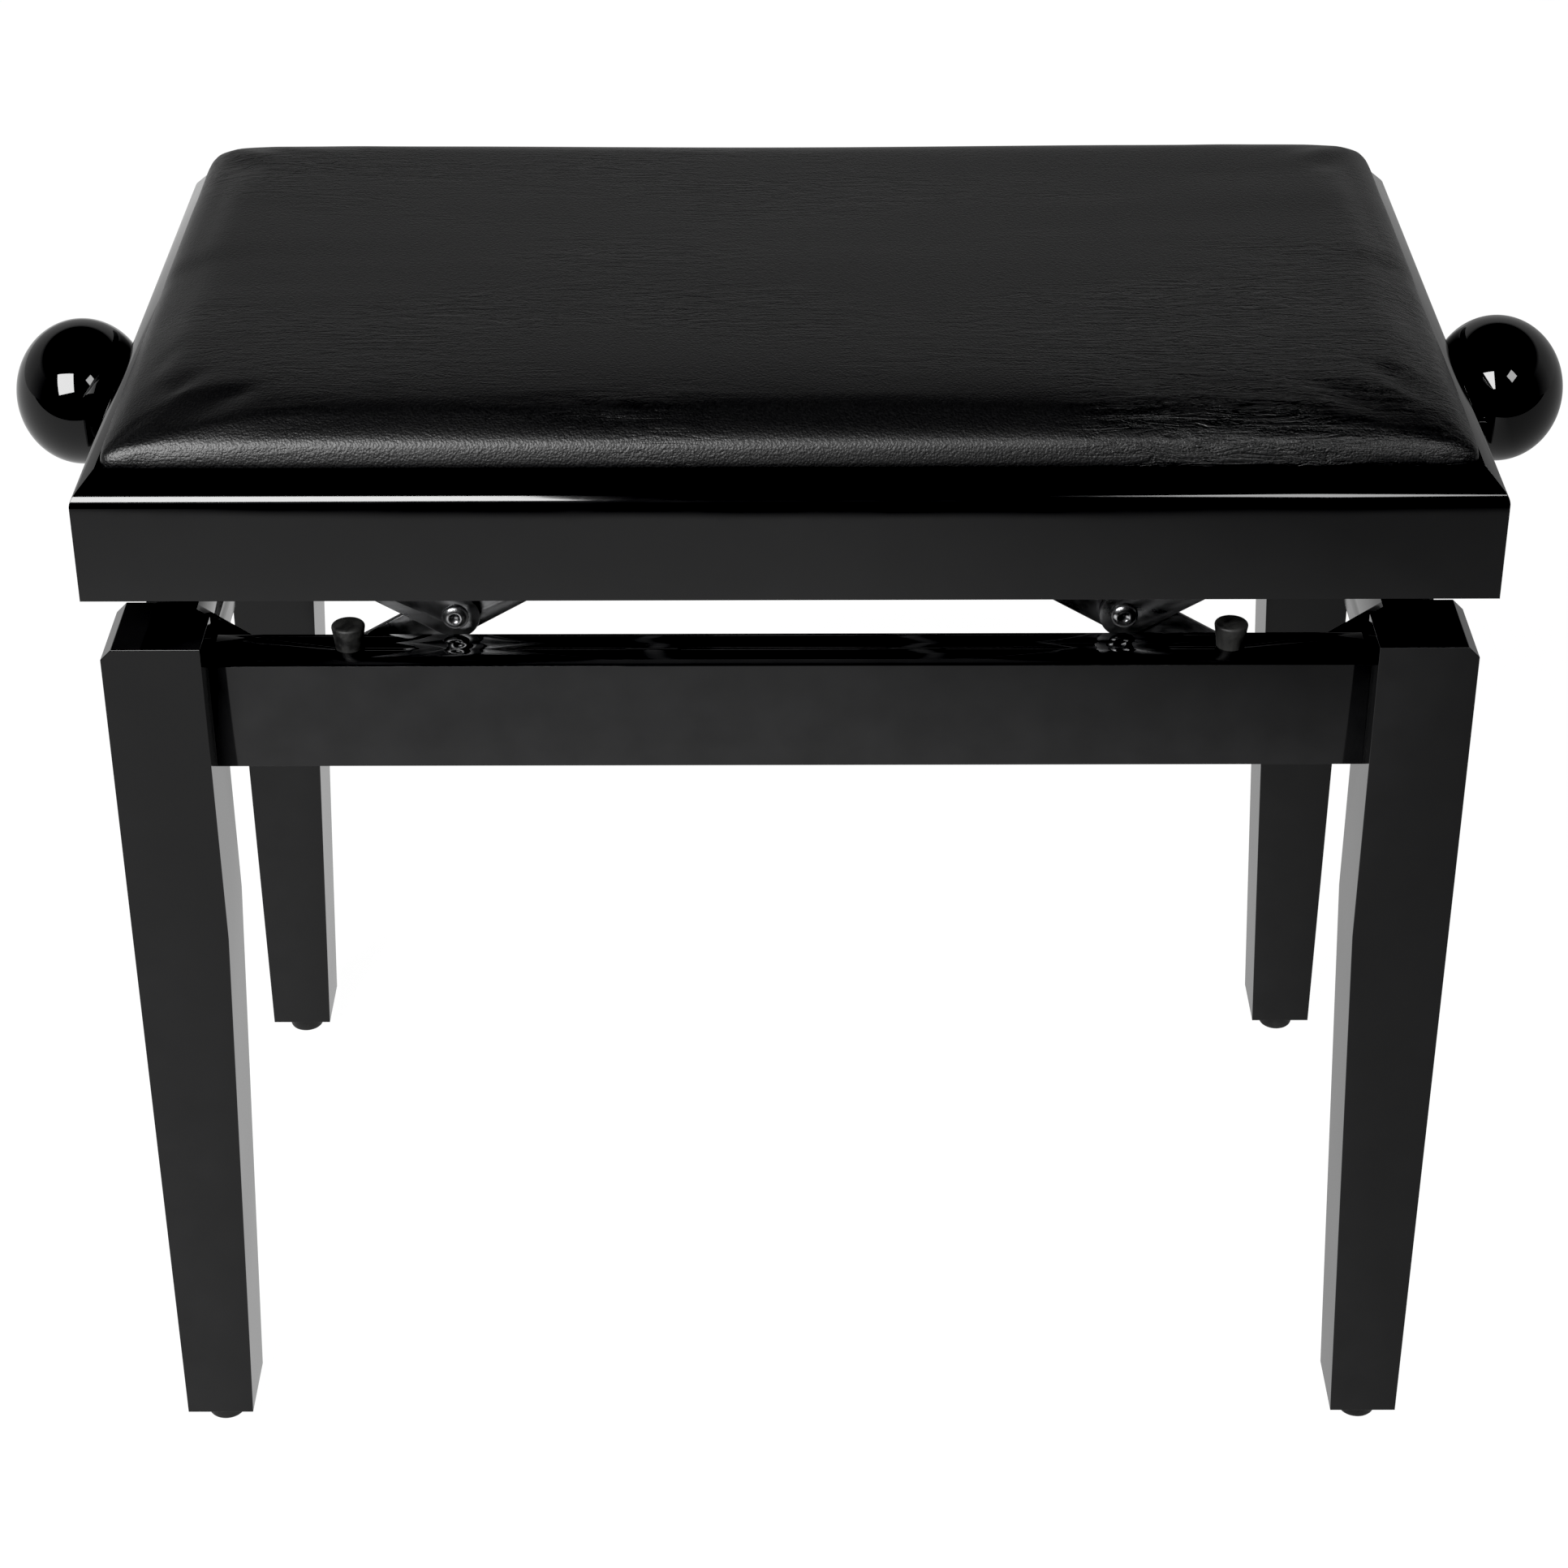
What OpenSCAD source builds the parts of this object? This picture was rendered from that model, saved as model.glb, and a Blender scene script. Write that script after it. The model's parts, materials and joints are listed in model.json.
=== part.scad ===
// Adjustable piano bench.
// A padded seat in a lacquered rim stands on four tapered legs. Two scissor linkages carry it,
// one at each end. A long arm of each turns on the leg frame and ends in a nut on the spindle; a
// short arm joins its middle to the seat. Turning either knob moves the two nuts apart or
// together, and the seat goes straight up or down.
// The origin is on the floor below the middle of the seat: +X is the player's right, +Y the back.

/* [Seat] */
// Width of the seat rim over its outer faces
seat_w = 560; // [500:5:700]
// Depth of the seat rim over its outer faces
seat_d = 330; // [290:5:420]
// Height of the rim from its bottom edge to its top lip
rim_h = 54; // [50:1:70]
// Thickness of the rim mouldings
rim_wall = 22; // [18:1:30]
// Height of the rim's flat outer face, up to the rounded shoulder
rim_face_h = 41; // [34:1:44]
// Radius of the rim's rounded shoulder
rim_round = 7.5; // [4:0.5:9]
// Width of the rim's top, from its outer face in to the cushion
lip_w = 9.5; // [8:0.5:12]
// Height of the ledge that the seat board rests on, above the rim's bottom edge
ledge_h = 38; // [34:1:42]
// Thickness of the seat board
board_t = 10; // [8:1:15]
// Height of the cushion's crown above the seat board
cushion_h = 26; // [14:1:60]

/* [Legs] */
// Length of a leg from its glide to its top
leg_h = 397; // [350:1:450]
// Height of the glides that the legs stand on
glide_h = 12; // [4:1:16]
// Width of a leg's square top
leg_t = 40; // [34:1:50]
// Width of a leg's foot, left to right
foot_w = 29.4; // [24:0.2:34]
// Depth of a leg's foot, front to back
foot_d = 33.3; // [24:0.1:34]
// Length of a leg's straight upper part, above the taper
leg_straight = 138; // [100:1:160]
// Distance of the legs' outer sides in from the rim's sides
leg_inset = 6; // [0:0.5:12]
// Distance that the legs stand forward of the rim's front face, and behind its back
leg_proud = 3.5; // [0:0.5:8]
// Width of the chamfer along a leg's inner corner
leg_chamfer = 12; // [9:0.5:16]
// Size of the bevel along the outer edge of a leg's top
top_bevel = 4.5; // [2:0.5:6]

/* [Aprons] */
// Height of the aprons
apron_h = 46.7; // [40:0.1:60]
// Distance of the aprons' top edges below the legs' tops
apron_drop = 16; // [8:1:24]
// Thickness of the front and back aprons
apron_t = 26.9; // [22:0.1:30]
// Distance of the front apron's face behind the legs' front faces
apron_setback = 14.6; // [10:0.1:16]
// Thickness of the side aprons
side_apron_t = 22; // [16:1:26]
// Length of a corner block along each apron
block_leg = 26; // [20:1:34]
// Radius of the rubber rest bumpers
bumper_r = 6.25; // [5:0.25:8]
// Height of the rubber rest bumpers above the apron
bumper_h = 10.4; // [6:0.1:12.6]
// Distance of the bumpers in from the legs' inner sides
bumper_inset = 55; // [40:1:80]

/* [Lift] */
// Length of half a long arm, which is also the length of a short arm
arm_len = 88; // [80:1:106]
// Slope of the arms as the bench stands
arm_angle = 30; // [26:1:40]
// Width of the arms
arm_w = 20; // [14:1:24]
// Thickness of the arms
arm_t = 3; // [2:0.5:3.5]
// Gap between plates that slide past each other
plate_gap = 0.5; // [0.3:0.1:0.6]
// Thickness of the pressed steel rails
rail_t = 2.5; // [2:0.25:3]
// Radius of the pivot pins
pin_r = 4; // [3:0.25:4.5]
// Radius of the rods and bars that tie the front arms to the back ones
rod_r = 6; // [5:0.5:8]
// Distance of the lower pivots in from the legs' inner sides
pivot_inset = 21; // [18:1:30]
// Height of the lower pivots above the aprons' bottom edges
pivot_rise = 9.2; // [8:0.1:14]
// Height of the spindle above the rim's bottom edge
spindle_rise = 14.5; // [13:0.5:20]
// Radius of the spindle
spindle_r = 6; // [5:0.25:7.5]
// Play around a pin or the spindle in its hole
running_play = 0.05; // [0.02:0.01:0.09]

/* [Knobs] */
// Radius of a knob
knob_r = 31.5; // [24:0.5:40]
// Half of a knob's length along the spindle, as a full oval
knob_half = 28.5; // [24:0.5:34]
// Distance from a knob's widest part back to its flat inner face
knob_back = 23; // [16:0.5:24]
// Radius of the bush flange behind each knob
flange_r = 15; // [12:0.5:18]

/* [Hidden] */
$fn = 64;

// Finishes
lacquer = "#161618";
leather = "#26272a";
steel = "#8b8e92";
bright = "#c9ccd0";
rubber = "#2a2a2a";

// Clearances: a press fit, a glued or bolted fit, and the gap round the cushion and board
press_gap = 0.02;
bolt_gap = 0.1;
seat_gap = 0.5;
// Length that a cutter runs past the piece that it cuts
past = 1;

// Leg frame. Lengths named _x and _y are half-widths out from the middle of the bench.
glide_r = 8.5;
glide_bevel = 1.5;
glide_nail_r = 1.2;
glide_nail = 14;
leg_top_z = glide_h + leg_h;
leg_out_x = seat_w / 2 - leg_inset;
leg_out_y = seat_d / 2 + leg_proud;
leg_in_x = leg_out_x - leg_t;
leg_in_y = leg_out_y - leg_t;
apron_top_z = leg_top_z - apron_drop;
apron_z = apron_top_z - apron_h;
apron_out_y = leg_out_y - apron_setback;
apron_in_y = apron_out_y - apron_t;
side_apron_in_x = leg_in_x + leg_chamfer;
side_apron_out_x = side_apron_in_x + side_apron_t;

// Chamfer on a leg's inner corner, with the round run-out that ends just below the apron
chamfer_depth = leg_chamfer / sqrt(2);
runout_r = 20;
runout_below = 10;
runout_z = apron_z - runout_below + sqrt(pow(runout_r, 2) - pow(runout_r - chamfer_depth, 2));

// Fasteners
bolt_r = 4;
bolt_head_r = 6.5;
bolt_head_h = 5;
bolt_in_leg = 22;
bolt_z = runout_z + (apron_top_z - runout_z) * 0.55;
screw_r = 2;
screw_head_r = 3.6;
screw_head_h = 2.4;
block_screw_len = 22;
block_screw_in = 14;
block_screw_end = 7;
rail_screw_len = 16;
board_screw_len = 26;
seat_screw_len = rail_t + board_t - 3;

// Corner blocks: the long face crosses the corner at 45 degrees
block_face_sum = side_apron_in_x + apron_in_y - block_leg;
block_face_d = (block_face_sum - leg_in_x - leg_in_y) / sqrt(2);

// Lift: planes of the plates, out from the middle of the bench
pivot_x = leg_in_x - pivot_inset;
pivot_z = apron_z + pivot_rise;
web_out_y = apron_in_y;
web_in_y = web_out_y - rail_t;
short_out_y = web_in_y - plate_gap;
short_in_y = short_out_y - arm_t;
long_out_y = short_in_y - plate_gap;
long_in_y = long_out_y - arm_t;
slack = 0.1;
head_r = pin_r + 1.5;
head_t = 1.5;
mid_head_t = 2;
mid_x = pivot_x - arm_len * cos(arm_angle);
mid_z = pivot_z + arm_len * sin(arm_angle);
nut_x = pivot_x - 2 * arm_len * cos(arm_angle);
spindle_z = pivot_z + 2 * arm_len * sin(arm_angle);
base_rail_end = 5;
base_rail_x = pivot_x + base_rail_end;
base_rail_z = apron_z + 0.7;
base_rail_h = 36;
base_rail_screw_z = pivot_z + 12;
nut_block = 24;
nut_block_y = 30;
clip_t = 1.2;

// Seat
rim_z = spindle_z - spindle_rise;
rim_in_y = seat_d / 2 - rim_wall;
rim_in_x = seat_w / 2 - rim_wall;
ledge_z = rim_z + ledge_h;
board_x = seat_w / 2 - lip_w - seat_gap;
board_y = seat_d / 2 - lip_w - seat_gap;
board_top_z = ledge_z + board_t;
cushion_top_z = board_top_z + cushion_h;
cushion_edge_z = rim_z + rim_h + 0.5;
crown_power = 5;
crown_steps = 18;
seat_rail_drop = 9;
seat_rail_z = rim_z - seat_rail_drop;
seat_rail_x = pivot_x + 13;
seat_screw_y = (web_out_y + rim_in_y) / 2;
ledge_mid = (lip_w + rim_wall) / 2;

// Spindle and knobs
bush_r = spindle_r + 3;
bush_flange_t = 2.5;
knob_gap = 0.5;
knob_x = seat_w / 2 + bush_flange_t + knob_gap + knob_back;
knob_bore = 17;
spindle_x = knob_x - knob_back + knob_bore - 0.2;
collar_w = 8;
collar_r = spindle_r + 4;
collar_x = rim_in_x - knob_gap - collar_w / 2;

// The two ends and the two sides are mirror images: children are made for the +X, +Y corner
module at_side(sx = 1, sy = 1) {
    if (sx < 0) mirror([1, 0, 0]) at_side(1, sy) children();
    else if (sy < 0) mirror([0, 1, 0]) children();
    else children();
}

module at_corners() {
    for (sx = [-1, 1], sy = [-1, 1]) at_side(sx, sy) children();
}

// Children along +Z are turned to run along +Y, out from the middle of the bench
module along_y(x, z) {
    translate([x, 0, z]) rotate([-90, 0, 0]) children();
}

// Children along +Z are turned to run along +X
module along_x(y, z) {
    translate([0, y, z]) rotate([0, 90, 0]) children();
}

// A round-headed screw that points along +Z, with the underside of its head at z = 0
module screw(length, gap = 0) {
    cylinder(h = length + gap, r = screw_r + gap);
    translate([0, 0, -screw_head_h]) cylinder(h = screw_head_h, r = screw_head_r + gap);
}

// The diagonal through a leg's inner corner: children along +Z run out into the leg at height z
module along_corner(z) {
    translate([leg_in_x, leg_in_y, z]) rotate([0, 0, 45]) rotate([0, 90, 0]) children();
}

// The bolt's clearance hole, through a corner block and the end of the apron beside it
module bolt_hole() {
    along_corner(bolt_z) translate([0, 0, -leg_t]) cylinder(h = 2 * leg_t, r = bolt_r + bolt_gap);
}

// ---- Leg frame ----

module leg_solid() {
    intersection() {
        rotate([90, 0, 0]) linear_extrude(height = 2 * leg_out_y + 2 * past, center = true)
            polygon([
                [leg_out_x, glide_h], [leg_out_x, leg_top_z - top_bevel],
                [leg_out_x - top_bevel, leg_top_z], [leg_in_x, leg_top_z],
                [leg_in_x, leg_top_z - leg_straight], [leg_out_x - foot_w, glide_h]
            ]);
        rotate([90, 0, 90]) linear_extrude(height = leg_out_x + past)
            polygon([
                [leg_out_y, glide_h], [leg_out_y, leg_top_z], [leg_in_y, leg_top_z],
                [leg_in_y, leg_top_z - leg_straight], [leg_out_y - foot_d, glide_h]
            ]);
    }
}

// The cutter's profile: across is the distance in from the leg's inner corner
module chamfer_cut() {
    translate([leg_in_x, leg_in_y, 0]) rotate([0, 0, 45]) rotate([90, 0, 0])
        linear_extrude(height = 2 * leg_t, center = true) {
            translate([chamfer_depth - runout_r, runout_z]) circle(r = runout_r);
            translate([chamfer_depth - runout_r, runout_z])
                square([runout_r, leg_top_z - runout_z + past]);
        }
}

module leg() {
    color(lacquer) difference() {
        leg_solid();
        chamfer_cut();
        along_corner(bolt_z) cylinder(h = chamfer_depth + bolt_in_leg + bolt_gap, r = bolt_r + bolt_gap);
        translate([leg_out_x - foot_w / 2, leg_out_y - foot_d / 2, glide_h - past])
            cylinder(h = glide_nail + past, r = glide_nail_r + press_gap);
    }
}

// Screws that hold a corner block to the side apron and to the front or back apron
module block_screw_set(gap = 0) {
    inner_x = side_apron_in_x - block_screw_len + block_screw_in;
    inner_y = apron_in_y - block_screw_len + block_screw_in;
    translate([inner_x, block_face_sum - side_apron_in_x + block_screw_end + 3, bolt_z - 14])
        rotate([0, 90, 0]) screw(block_screw_len, gap);
    translate([block_face_sum - apron_in_y + block_screw_end + 1, inner_y, bolt_z + 12])
        rotate([-90, 0, 0]) screw(block_screw_len, gap);
}

module bumper_stem(gap = 0) {
    translate([leg_in_x - bumper_inset, (apron_in_y + apron_out_y) / 2 - 3.5, apron_top_z - 8])
        cylinder(h = 8, r = 2.5 + gap);
}

module base_rail_screw_set(gap = 0) {
    for (x = [-0.7, 0, 0.7]) translate([x * pivot_x, web_in_y, base_rail_screw_z])
        rotate([-90, 0, 0]) screw(rail_screw_len, gap);
}

module long_apron() {
    color(lacquer) difference() {
        translate([-leg_in_x, apron_in_y, apron_z]) cube([2 * leg_in_x, apron_t, apron_h]);
        for (sx = [-1, 1]) at_side(sx) {
            block_screw_set(bolt_gap);
            bumper_stem(press_gap);
            bolt_hole();
        }
        base_rail_screw_set(bolt_gap);
    }
}

module side_apron() {
    color(lacquer) difference() {
        translate([side_apron_in_x, -leg_in_y, apron_z])
            cube([side_apron_t, 2 * leg_in_y, apron_h]);
        for (sy = [-1, 1]) at_side(1, sy) block_screw_set(bolt_gap);
    }
}

module corner_block() {
    color(lacquer) difference() {
        translate([0, 0, runout_z]) linear_extrude(height = apron_top_z - runout_z)
            polygon([
                [side_apron_in_x, block_face_sum - side_apron_in_x], [side_apron_in_x, leg_in_y],
                [leg_in_x, leg_in_y + leg_chamfer], [leg_in_x, apron_in_y],
                [block_face_sum - apron_in_y, apron_in_y]
            ]);
        bolt_hole();
        block_screw_set(bolt_gap);
        // Each screw's head sits in a counterbore that opens on the long face
        inner_x = side_apron_in_x - block_screw_len + block_screw_in;
        inner_y = apron_in_y - block_screw_len + block_screw_in;
        translate([inner_x, block_face_sum - side_apron_in_x + block_screw_end + 3, bolt_z - 14])
            rotate([0, -90, 0]) cylinder(h = block_leg, r = screw_head_r + bolt_gap);
        translate([block_face_sum - apron_in_y + block_screw_end + 1, inner_y, bolt_z + 12])
            rotate([90, 0, 0]) cylinder(h = block_leg, r = screw_head_r + bolt_gap);
    }
}

module leg_bolts() {
    color(steel) at_corners() along_corner(bolt_z) {
        translate([0, 0, block_face_d]) cylinder(h = chamfer_depth + bolt_in_leg - block_face_d, r = bolt_r);
        translate([0, 0, block_face_d - bolt_head_h]) cylinder(h = bolt_head_h, r = bolt_head_r, $fn = 6);
    }
}

module block_screws() {
    color(steel) at_corners() block_screw_set();
}

module leg_glides() {
    color(rubber) at_corners()
        translate([leg_out_x - foot_w / 2, leg_out_y - foot_d / 2, 0]) {
            cylinder(h = glide_bevel, r1 = glide_r - glide_bevel, r2 = glide_r);
            translate([0, 0, glide_bevel]) cylinder(h = glide_h - glide_bevel, r = glide_r);
            cylinder(h = glide_h + glide_nail - past, r = glide_nail_r);
        }
}

module rest_bumpers() {
    color(rubber) at_corners() {
        bumper_stem();
        translate([leg_in_x - bumper_inset, (apron_in_y + apron_out_y) / 2 - 3.5, apron_top_z])
            cylinder(h = bumper_h, r1 = bumper_r - 0.75, r2 = bumper_r);
    }
}

// ---- Lift ----

module base_rail() {
    color(steel) difference() {
        translate([-base_rail_x, web_in_y, base_rail_z]) cube([2 * base_rail_x, rail_t, base_rail_h]);
        for (sx = [-1, 1]) at_side(sx) along_y(pivot_x, pivot_z)
            cylinder(h = web_out_y + past, r = pin_r + press_gap);
        base_rail_screw_set(bolt_gap);
    }
}

// A shouldered pin: its tail is pressed into the rail and its inner head keeps the long arm on
module lower_pivot_pins() {
    color(bright) at_corners() along_y(pivot_x, pivot_z) {
        translate([0, 0, long_in_y - slack - head_t]) cylinder(h = head_t, r = head_r);
        translate([0, 0, long_in_y - slack]) cylinder(h = web_out_y - long_in_y + slack, r = pin_r);
        translate([0, 0, long_out_y + slack]) cylinder(h = web_in_y - long_out_y - slack, r = head_r);
    }
}

// A flat arm with round ends and a pin hole at each of the places given along it
module flat_arm(length, holes) {
    linear_extrude(height = arm_t) difference() {
        union() {
            translate([0, -arm_w / 2]) square([length, arm_w]);
            for (x = [0, length]) translate([x, 0]) circle(d = arm_w);
        }
        for (hole = holes) translate([hole[0], 0]) circle(r = pin_r + hole[1]);
    }
}

module long_arm() {
    color(steel) translate([pivot_x, long_out_y, pivot_z]) rotate([90, 0, 0])
        rotate([0, 0, 180 - arm_angle])
            flat_arm(2 * arm_len, [[0, running_play], [arm_len, press_gap], [2 * arm_len, running_play]]);
}

module short_arm() {
    color(steel) translate([mid_x, short_out_y, mid_z]) rotate([90, 0, 0])
        rotate([0, 0, arm_angle])
            flat_arm(arm_len, [[0, running_play], [arm_len, running_play]]);
}

// The rod ties the front and back long arms; the short arms turn on its ends, behind round heads
module mid_rod() {
    color(bright) along_y(mid_x, mid_z) {
        translate([0, 0, -long_in_y + slack]) cylinder(h = 2 * (long_in_y - slack), r = rod_r);
        for (end = [0, 1]) mirror([0, 0, end]) {
            translate([0, 0, long_in_y - slack]) cylinder(h = web_in_y - long_in_y + slack, r = pin_r);
            translate([0, 0, short_out_y + slack]) cylinder(h = mid_head_t, r = head_r);
        }
    }
}

// The bar carries the spindle's nut in its middle and a long arm on each of its end pins
module nut_bar() {
    color(steel) difference() {
        union() {
            along_y(nut_x, spindle_z) {
                translate([0, 0, -long_in_y + slack]) cylinder(h = 2 * (long_in_y - slack), r = rod_r + 2);
                translate([0, 0, -short_out_y + 1]) cylinder(h = 2 * (short_out_y - 1), r = pin_r);
            }
            translate([nut_x, 0, spindle_z]) cube([nut_block, nut_block_y, nut_block], center = true);
        }
        along_x(0, spindle_z) cylinder(h = leg_out_x, r = spindle_r + running_play);
    }
}

module nut_clips() {
    color(bright) for (sy = [-1, 1]) at_side(1, sy) along_y(nut_x, spindle_z)
        translate([0, 0, long_out_y + slack]) difference() {
            cylinder(h = clip_t, r = head_r + 0.5);
            translate([0, 0, -past]) cylinder(h = clip_t + 2 * past, r = pin_r + press_gap);
        }
}

// ---- Seat ----

// Section of a rim moulding: across is the distance out from its outer face, up from its bottom
module rim_profile() {
    shoulder = rim_round * (1 - cos(45));
    polygon([
        [-rim_wall, 0], [0, 0], [0, rim_face_h], [-shoulder, rim_face_h + rim_round * sin(45)],
        [-lip_w, rim_h], [-lip_w, ledge_h], [-rim_wall, ledge_h]
    ]);
    intersection() {
        translate([-rim_round, rim_face_h]) circle(r = rim_round);
        translate([-rim_round, rim_face_h]) square([rim_round, rim_round]);
    }
}

module board_screw_set(gap = 0) {
    for (x = [-0.5, 0.5], sy = [-1, 1]) translate([x * seat_w, sy * (seat_d / 2 - ledge_mid), 0])
        translate([-x * 200, 0, board_top_z - screw_head_h]) rotate([180, 0, 0]) screw(board_screw_len, gap);
    for (y = [-0.2, 0.2], sx = [-1, 1])
        translate([sx * (seat_w / 2 - ledge_mid), y * seat_d, board_top_z - screw_head_h])
            rotate([180, 0, 0]) screw(board_screw_len, gap);
}

module long_rim() {
    color(lacquer) difference() {
        intersection() {
            translate([0, seat_d / 2, rim_z]) rotate([90, 0, 90])
                linear_extrude(height = seat_w, center = true) rim_profile();
            translate([0, 0, rim_z - past]) linear_extrude(height = rim_h + 2 * past) polygon([
                [-seat_w / 2, seat_d / 2], [seat_w / 2, seat_d / 2],
                [rim_in_x, rim_in_y], [-rim_in_x, rim_in_y]
            ]);
        }
        board_screw_set(bolt_gap);
    }
}

module side_rim() {
    color(lacquer) difference() {
        intersection() {
            translate([seat_w / 2, 0, rim_z]) rotate([90, 0, 0])
                linear_extrude(height = seat_d, center = true) rim_profile();
            translate([0, 0, rim_z - past]) linear_extrude(height = rim_h + 2 * past) polygon([
                [seat_w / 2, -seat_d / 2], [seat_w / 2, seat_d / 2],
                [rim_in_x, rim_in_y], [rim_in_x, -rim_in_y]
            ]);
        }
        along_x(0, spindle_z) cylinder(h = seat_w, r = bush_r + press_gap);
        board_screw_set(bolt_gap);
    }
}

module seat_rail_screw_set(gap = 0) {
    for (x = [-0.75, 0, 0.75]) translate([x * pivot_x, seat_screw_y, ledge_z - rail_t])
        screw(seat_screw_len, gap);
}

module seat_board() {
    color(lacquer) difference() {
        translate([-board_x, -board_y, ledge_z]) cube([2 * board_x, 2 * board_y, board_t]);
        board_screw_set(bolt_gap);
        for (sy = [-1, 1]) at_side(1, sy) seat_rail_screw_set(bolt_gap);
    }
}

// Half of a crowned outline, from its middle to its edge
function crown(half) = [
    for (i = [0:crown_steps])
        let (t = sin(90 * i / crown_steps))
            [half * t, cushion_edge_z + (cushion_top_z - cushion_edge_z) * sqrt(1 - pow(t, crown_power))]
];

module crowned_slab(half, length) {
    outline = crown(half);
    mirrored = [for (i = [crown_steps:-1:1]) [-outline[i][0], outline[i][1]]];
    linear_extrude(height = length, center = true)
        polygon(concat(mirrored, outline, [[half, board_top_z], [-half, board_top_z]]));
}

module cushion() {
    color(leather) intersection() {
        rotate([90, 0, 0]) crowned_slab(board_x, seat_d);
        rotate([90, 0, 90]) crowned_slab(board_y, seat_w);
    }
}

// A channel that opens outwards: its top flange carries the board, its bottom one meets the bumpers
module seat_rail() {
    color(steel) difference() {
        translate([0, 0, seat_rail_z]) rotate([90, 0, 90])
            linear_extrude(height = 2 * seat_rail_x, center = true) polygon([
                [web_in_y, 0], [rim_in_y, 0], [rim_in_y, rail_t], [web_out_y, rail_t],
                [web_out_y, ledge_z - seat_rail_z - rail_t], [rim_in_y, ledge_z - seat_rail_z - rail_t],
                [rim_in_y, ledge_z - seat_rail_z], [web_in_y, ledge_z - seat_rail_z]
            ]);
        for (sx = [-1, 1]) at_side(sx) along_y(pivot_x, spindle_z)
            cylinder(h = web_out_y + past, r = pin_r + press_gap);
        seat_rail_screw_set(bolt_gap);
    }
}

module upper_pivot_pins() {
    color(bright) at_corners() along_y(pivot_x, spindle_z) {
        translate([0, 0, short_in_y - slack - head_t]) cylinder(h = head_t, r = head_r);
        translate([0, 0, short_in_y - slack]) cylinder(h = web_out_y - short_in_y + slack, r = pin_r);
        translate([0, 0, web_out_y]) cylinder(h = head_t, r = head_r);
    }
}

// ---- Spindle and knobs ----

module spindle_bush() {
    color(bright) along_x(0, spindle_z) difference() {
        union() {
            translate([0, 0, rim_in_x]) cylinder(h = rim_wall, r = bush_r);
            translate([0, 0, seat_w / 2]) cylinder(h = bush_flange_t, r = flange_r);
        }
        cylinder(h = seat_w, r = spindle_r + running_play);
    }
}

module spindle() {
    color(bright) along_x(0, spindle_z) cylinder(h = 2 * spindle_x, r = spindle_r, center = true);
}

module collar_screw(gap = 0) {
    translate([collar_x, 0, spindle_z + spindle_r + press_gap])
        cylinder(h = collar_r - spindle_r - press_gap, r = screw_r + gap);
}

module spindle_collar() {
    color(steel) difference() {
        along_x(0, spindle_z) translate([0, 0, collar_x - collar_w / 2]) cylinder(h = collar_w, r = collar_r);
        along_x(0, spindle_z) cylinder(h = seat_w, r = spindle_r + press_gap);
        collar_screw(press_gap);
    }
}

module collar_screws() {
    color(bright) for (sx = [-1, 1]) at_side(sx) collar_screw();
}

// An oval turning, flat where it faces the seat
module knob() {
    flat_angle = acos(knob_back / knob_half);
    steps = 30;
    oval = [
        for (i = [0:steps])
            let (angle = flat_angle + (180 - flat_angle) * i / steps)
                [knob_r * sin(angle), -knob_half * cos(angle)]
    ];
    color(lacquer) along_x(0, spindle_z) difference() {
        translate([0, 0, knob_x]) rotate_extrude($fn = 96) polygon(concat([[0, -knob_back]], oval));
        cylinder(h = knob_x - knob_back + knob_bore, r = spindle_r + press_gap);
    }
}

// ---- Nodes ----

at_side(-1, -1) leg();  // leg_front_left
at_side(1, -1) leg();  // leg_front_right
at_side(-1, 1) leg();  // leg_back_left
at_side(1, 1) leg();  // leg_back_right
at_side(1, -1) long_apron();  // apron_front
long_apron();  // apron_back
at_side(-1, 1) side_apron();  // apron_left
side_apron();  // apron_right
at_side(-1, -1) corner_block();  // corner_block_front_left
at_side(1, -1) corner_block();  // corner_block_front_right
at_side(-1, 1) corner_block();  // corner_block_back_left
at_side(1, 1) corner_block();  // corner_block_back_right
leg_bolts();
block_screws();
leg_glides();
rest_bumpers();
at_side(1, -1) base_rail();  // base_rail_front
base_rail();  // base_rail_back
color(bright) for (sy = [-1, 1]) at_side(1, sy) base_rail_screw_set();  // base_rail_screws
lower_pivot_pins();
at_side(-1, -1) long_arm();  // long_arm_front_left
at_side(1, -1) long_arm();  // long_arm_front_right
at_side(-1, 1) long_arm();  // long_arm_back_left
at_side(1, 1) long_arm();  // long_arm_back_right
at_side(-1, -1) short_arm();  // short_arm_front_left
at_side(1, -1) short_arm();  // short_arm_front_right
at_side(-1, 1) short_arm();  // short_arm_back_left
at_side(1, 1) short_arm();  // short_arm_back_right
at_side(-1) mid_rod();  // mid_rod_left
mid_rod();  // mid_rod_right
at_side(-1) nut_bar();  // nut_bar_left
nut_bar();  // nut_bar_right
at_side(-1) nut_clips();  // nut_clips_left
nut_clips();  // nut_clips_right
at_side(1, -1) long_rim();  // rim_front
long_rim();  // rim_back
at_side(-1) side_rim();  // rim_left
side_rim();  // rim_right
seat_board();
color(steel) board_screw_set();  // board_screws
cushion();
at_side(1, -1) seat_rail();  // seat_rail_front
seat_rail();  // seat_rail_back
color(bright) for (sy = [-1, 1]) at_side(1, sy) seat_rail_screw_set();  // seat_rail_screws
upper_pivot_pins();
at_side(-1) spindle_bush();  // spindle_bush_left
spindle_bush();  // spindle_bush_right
spindle();
at_side(-1) spindle_collar();  // spindle_collar_left
spindle_collar();  // spindle_collar_right
collar_screws();
at_side(-1) knob();  // knob_left
knob();  // knob_right
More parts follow.
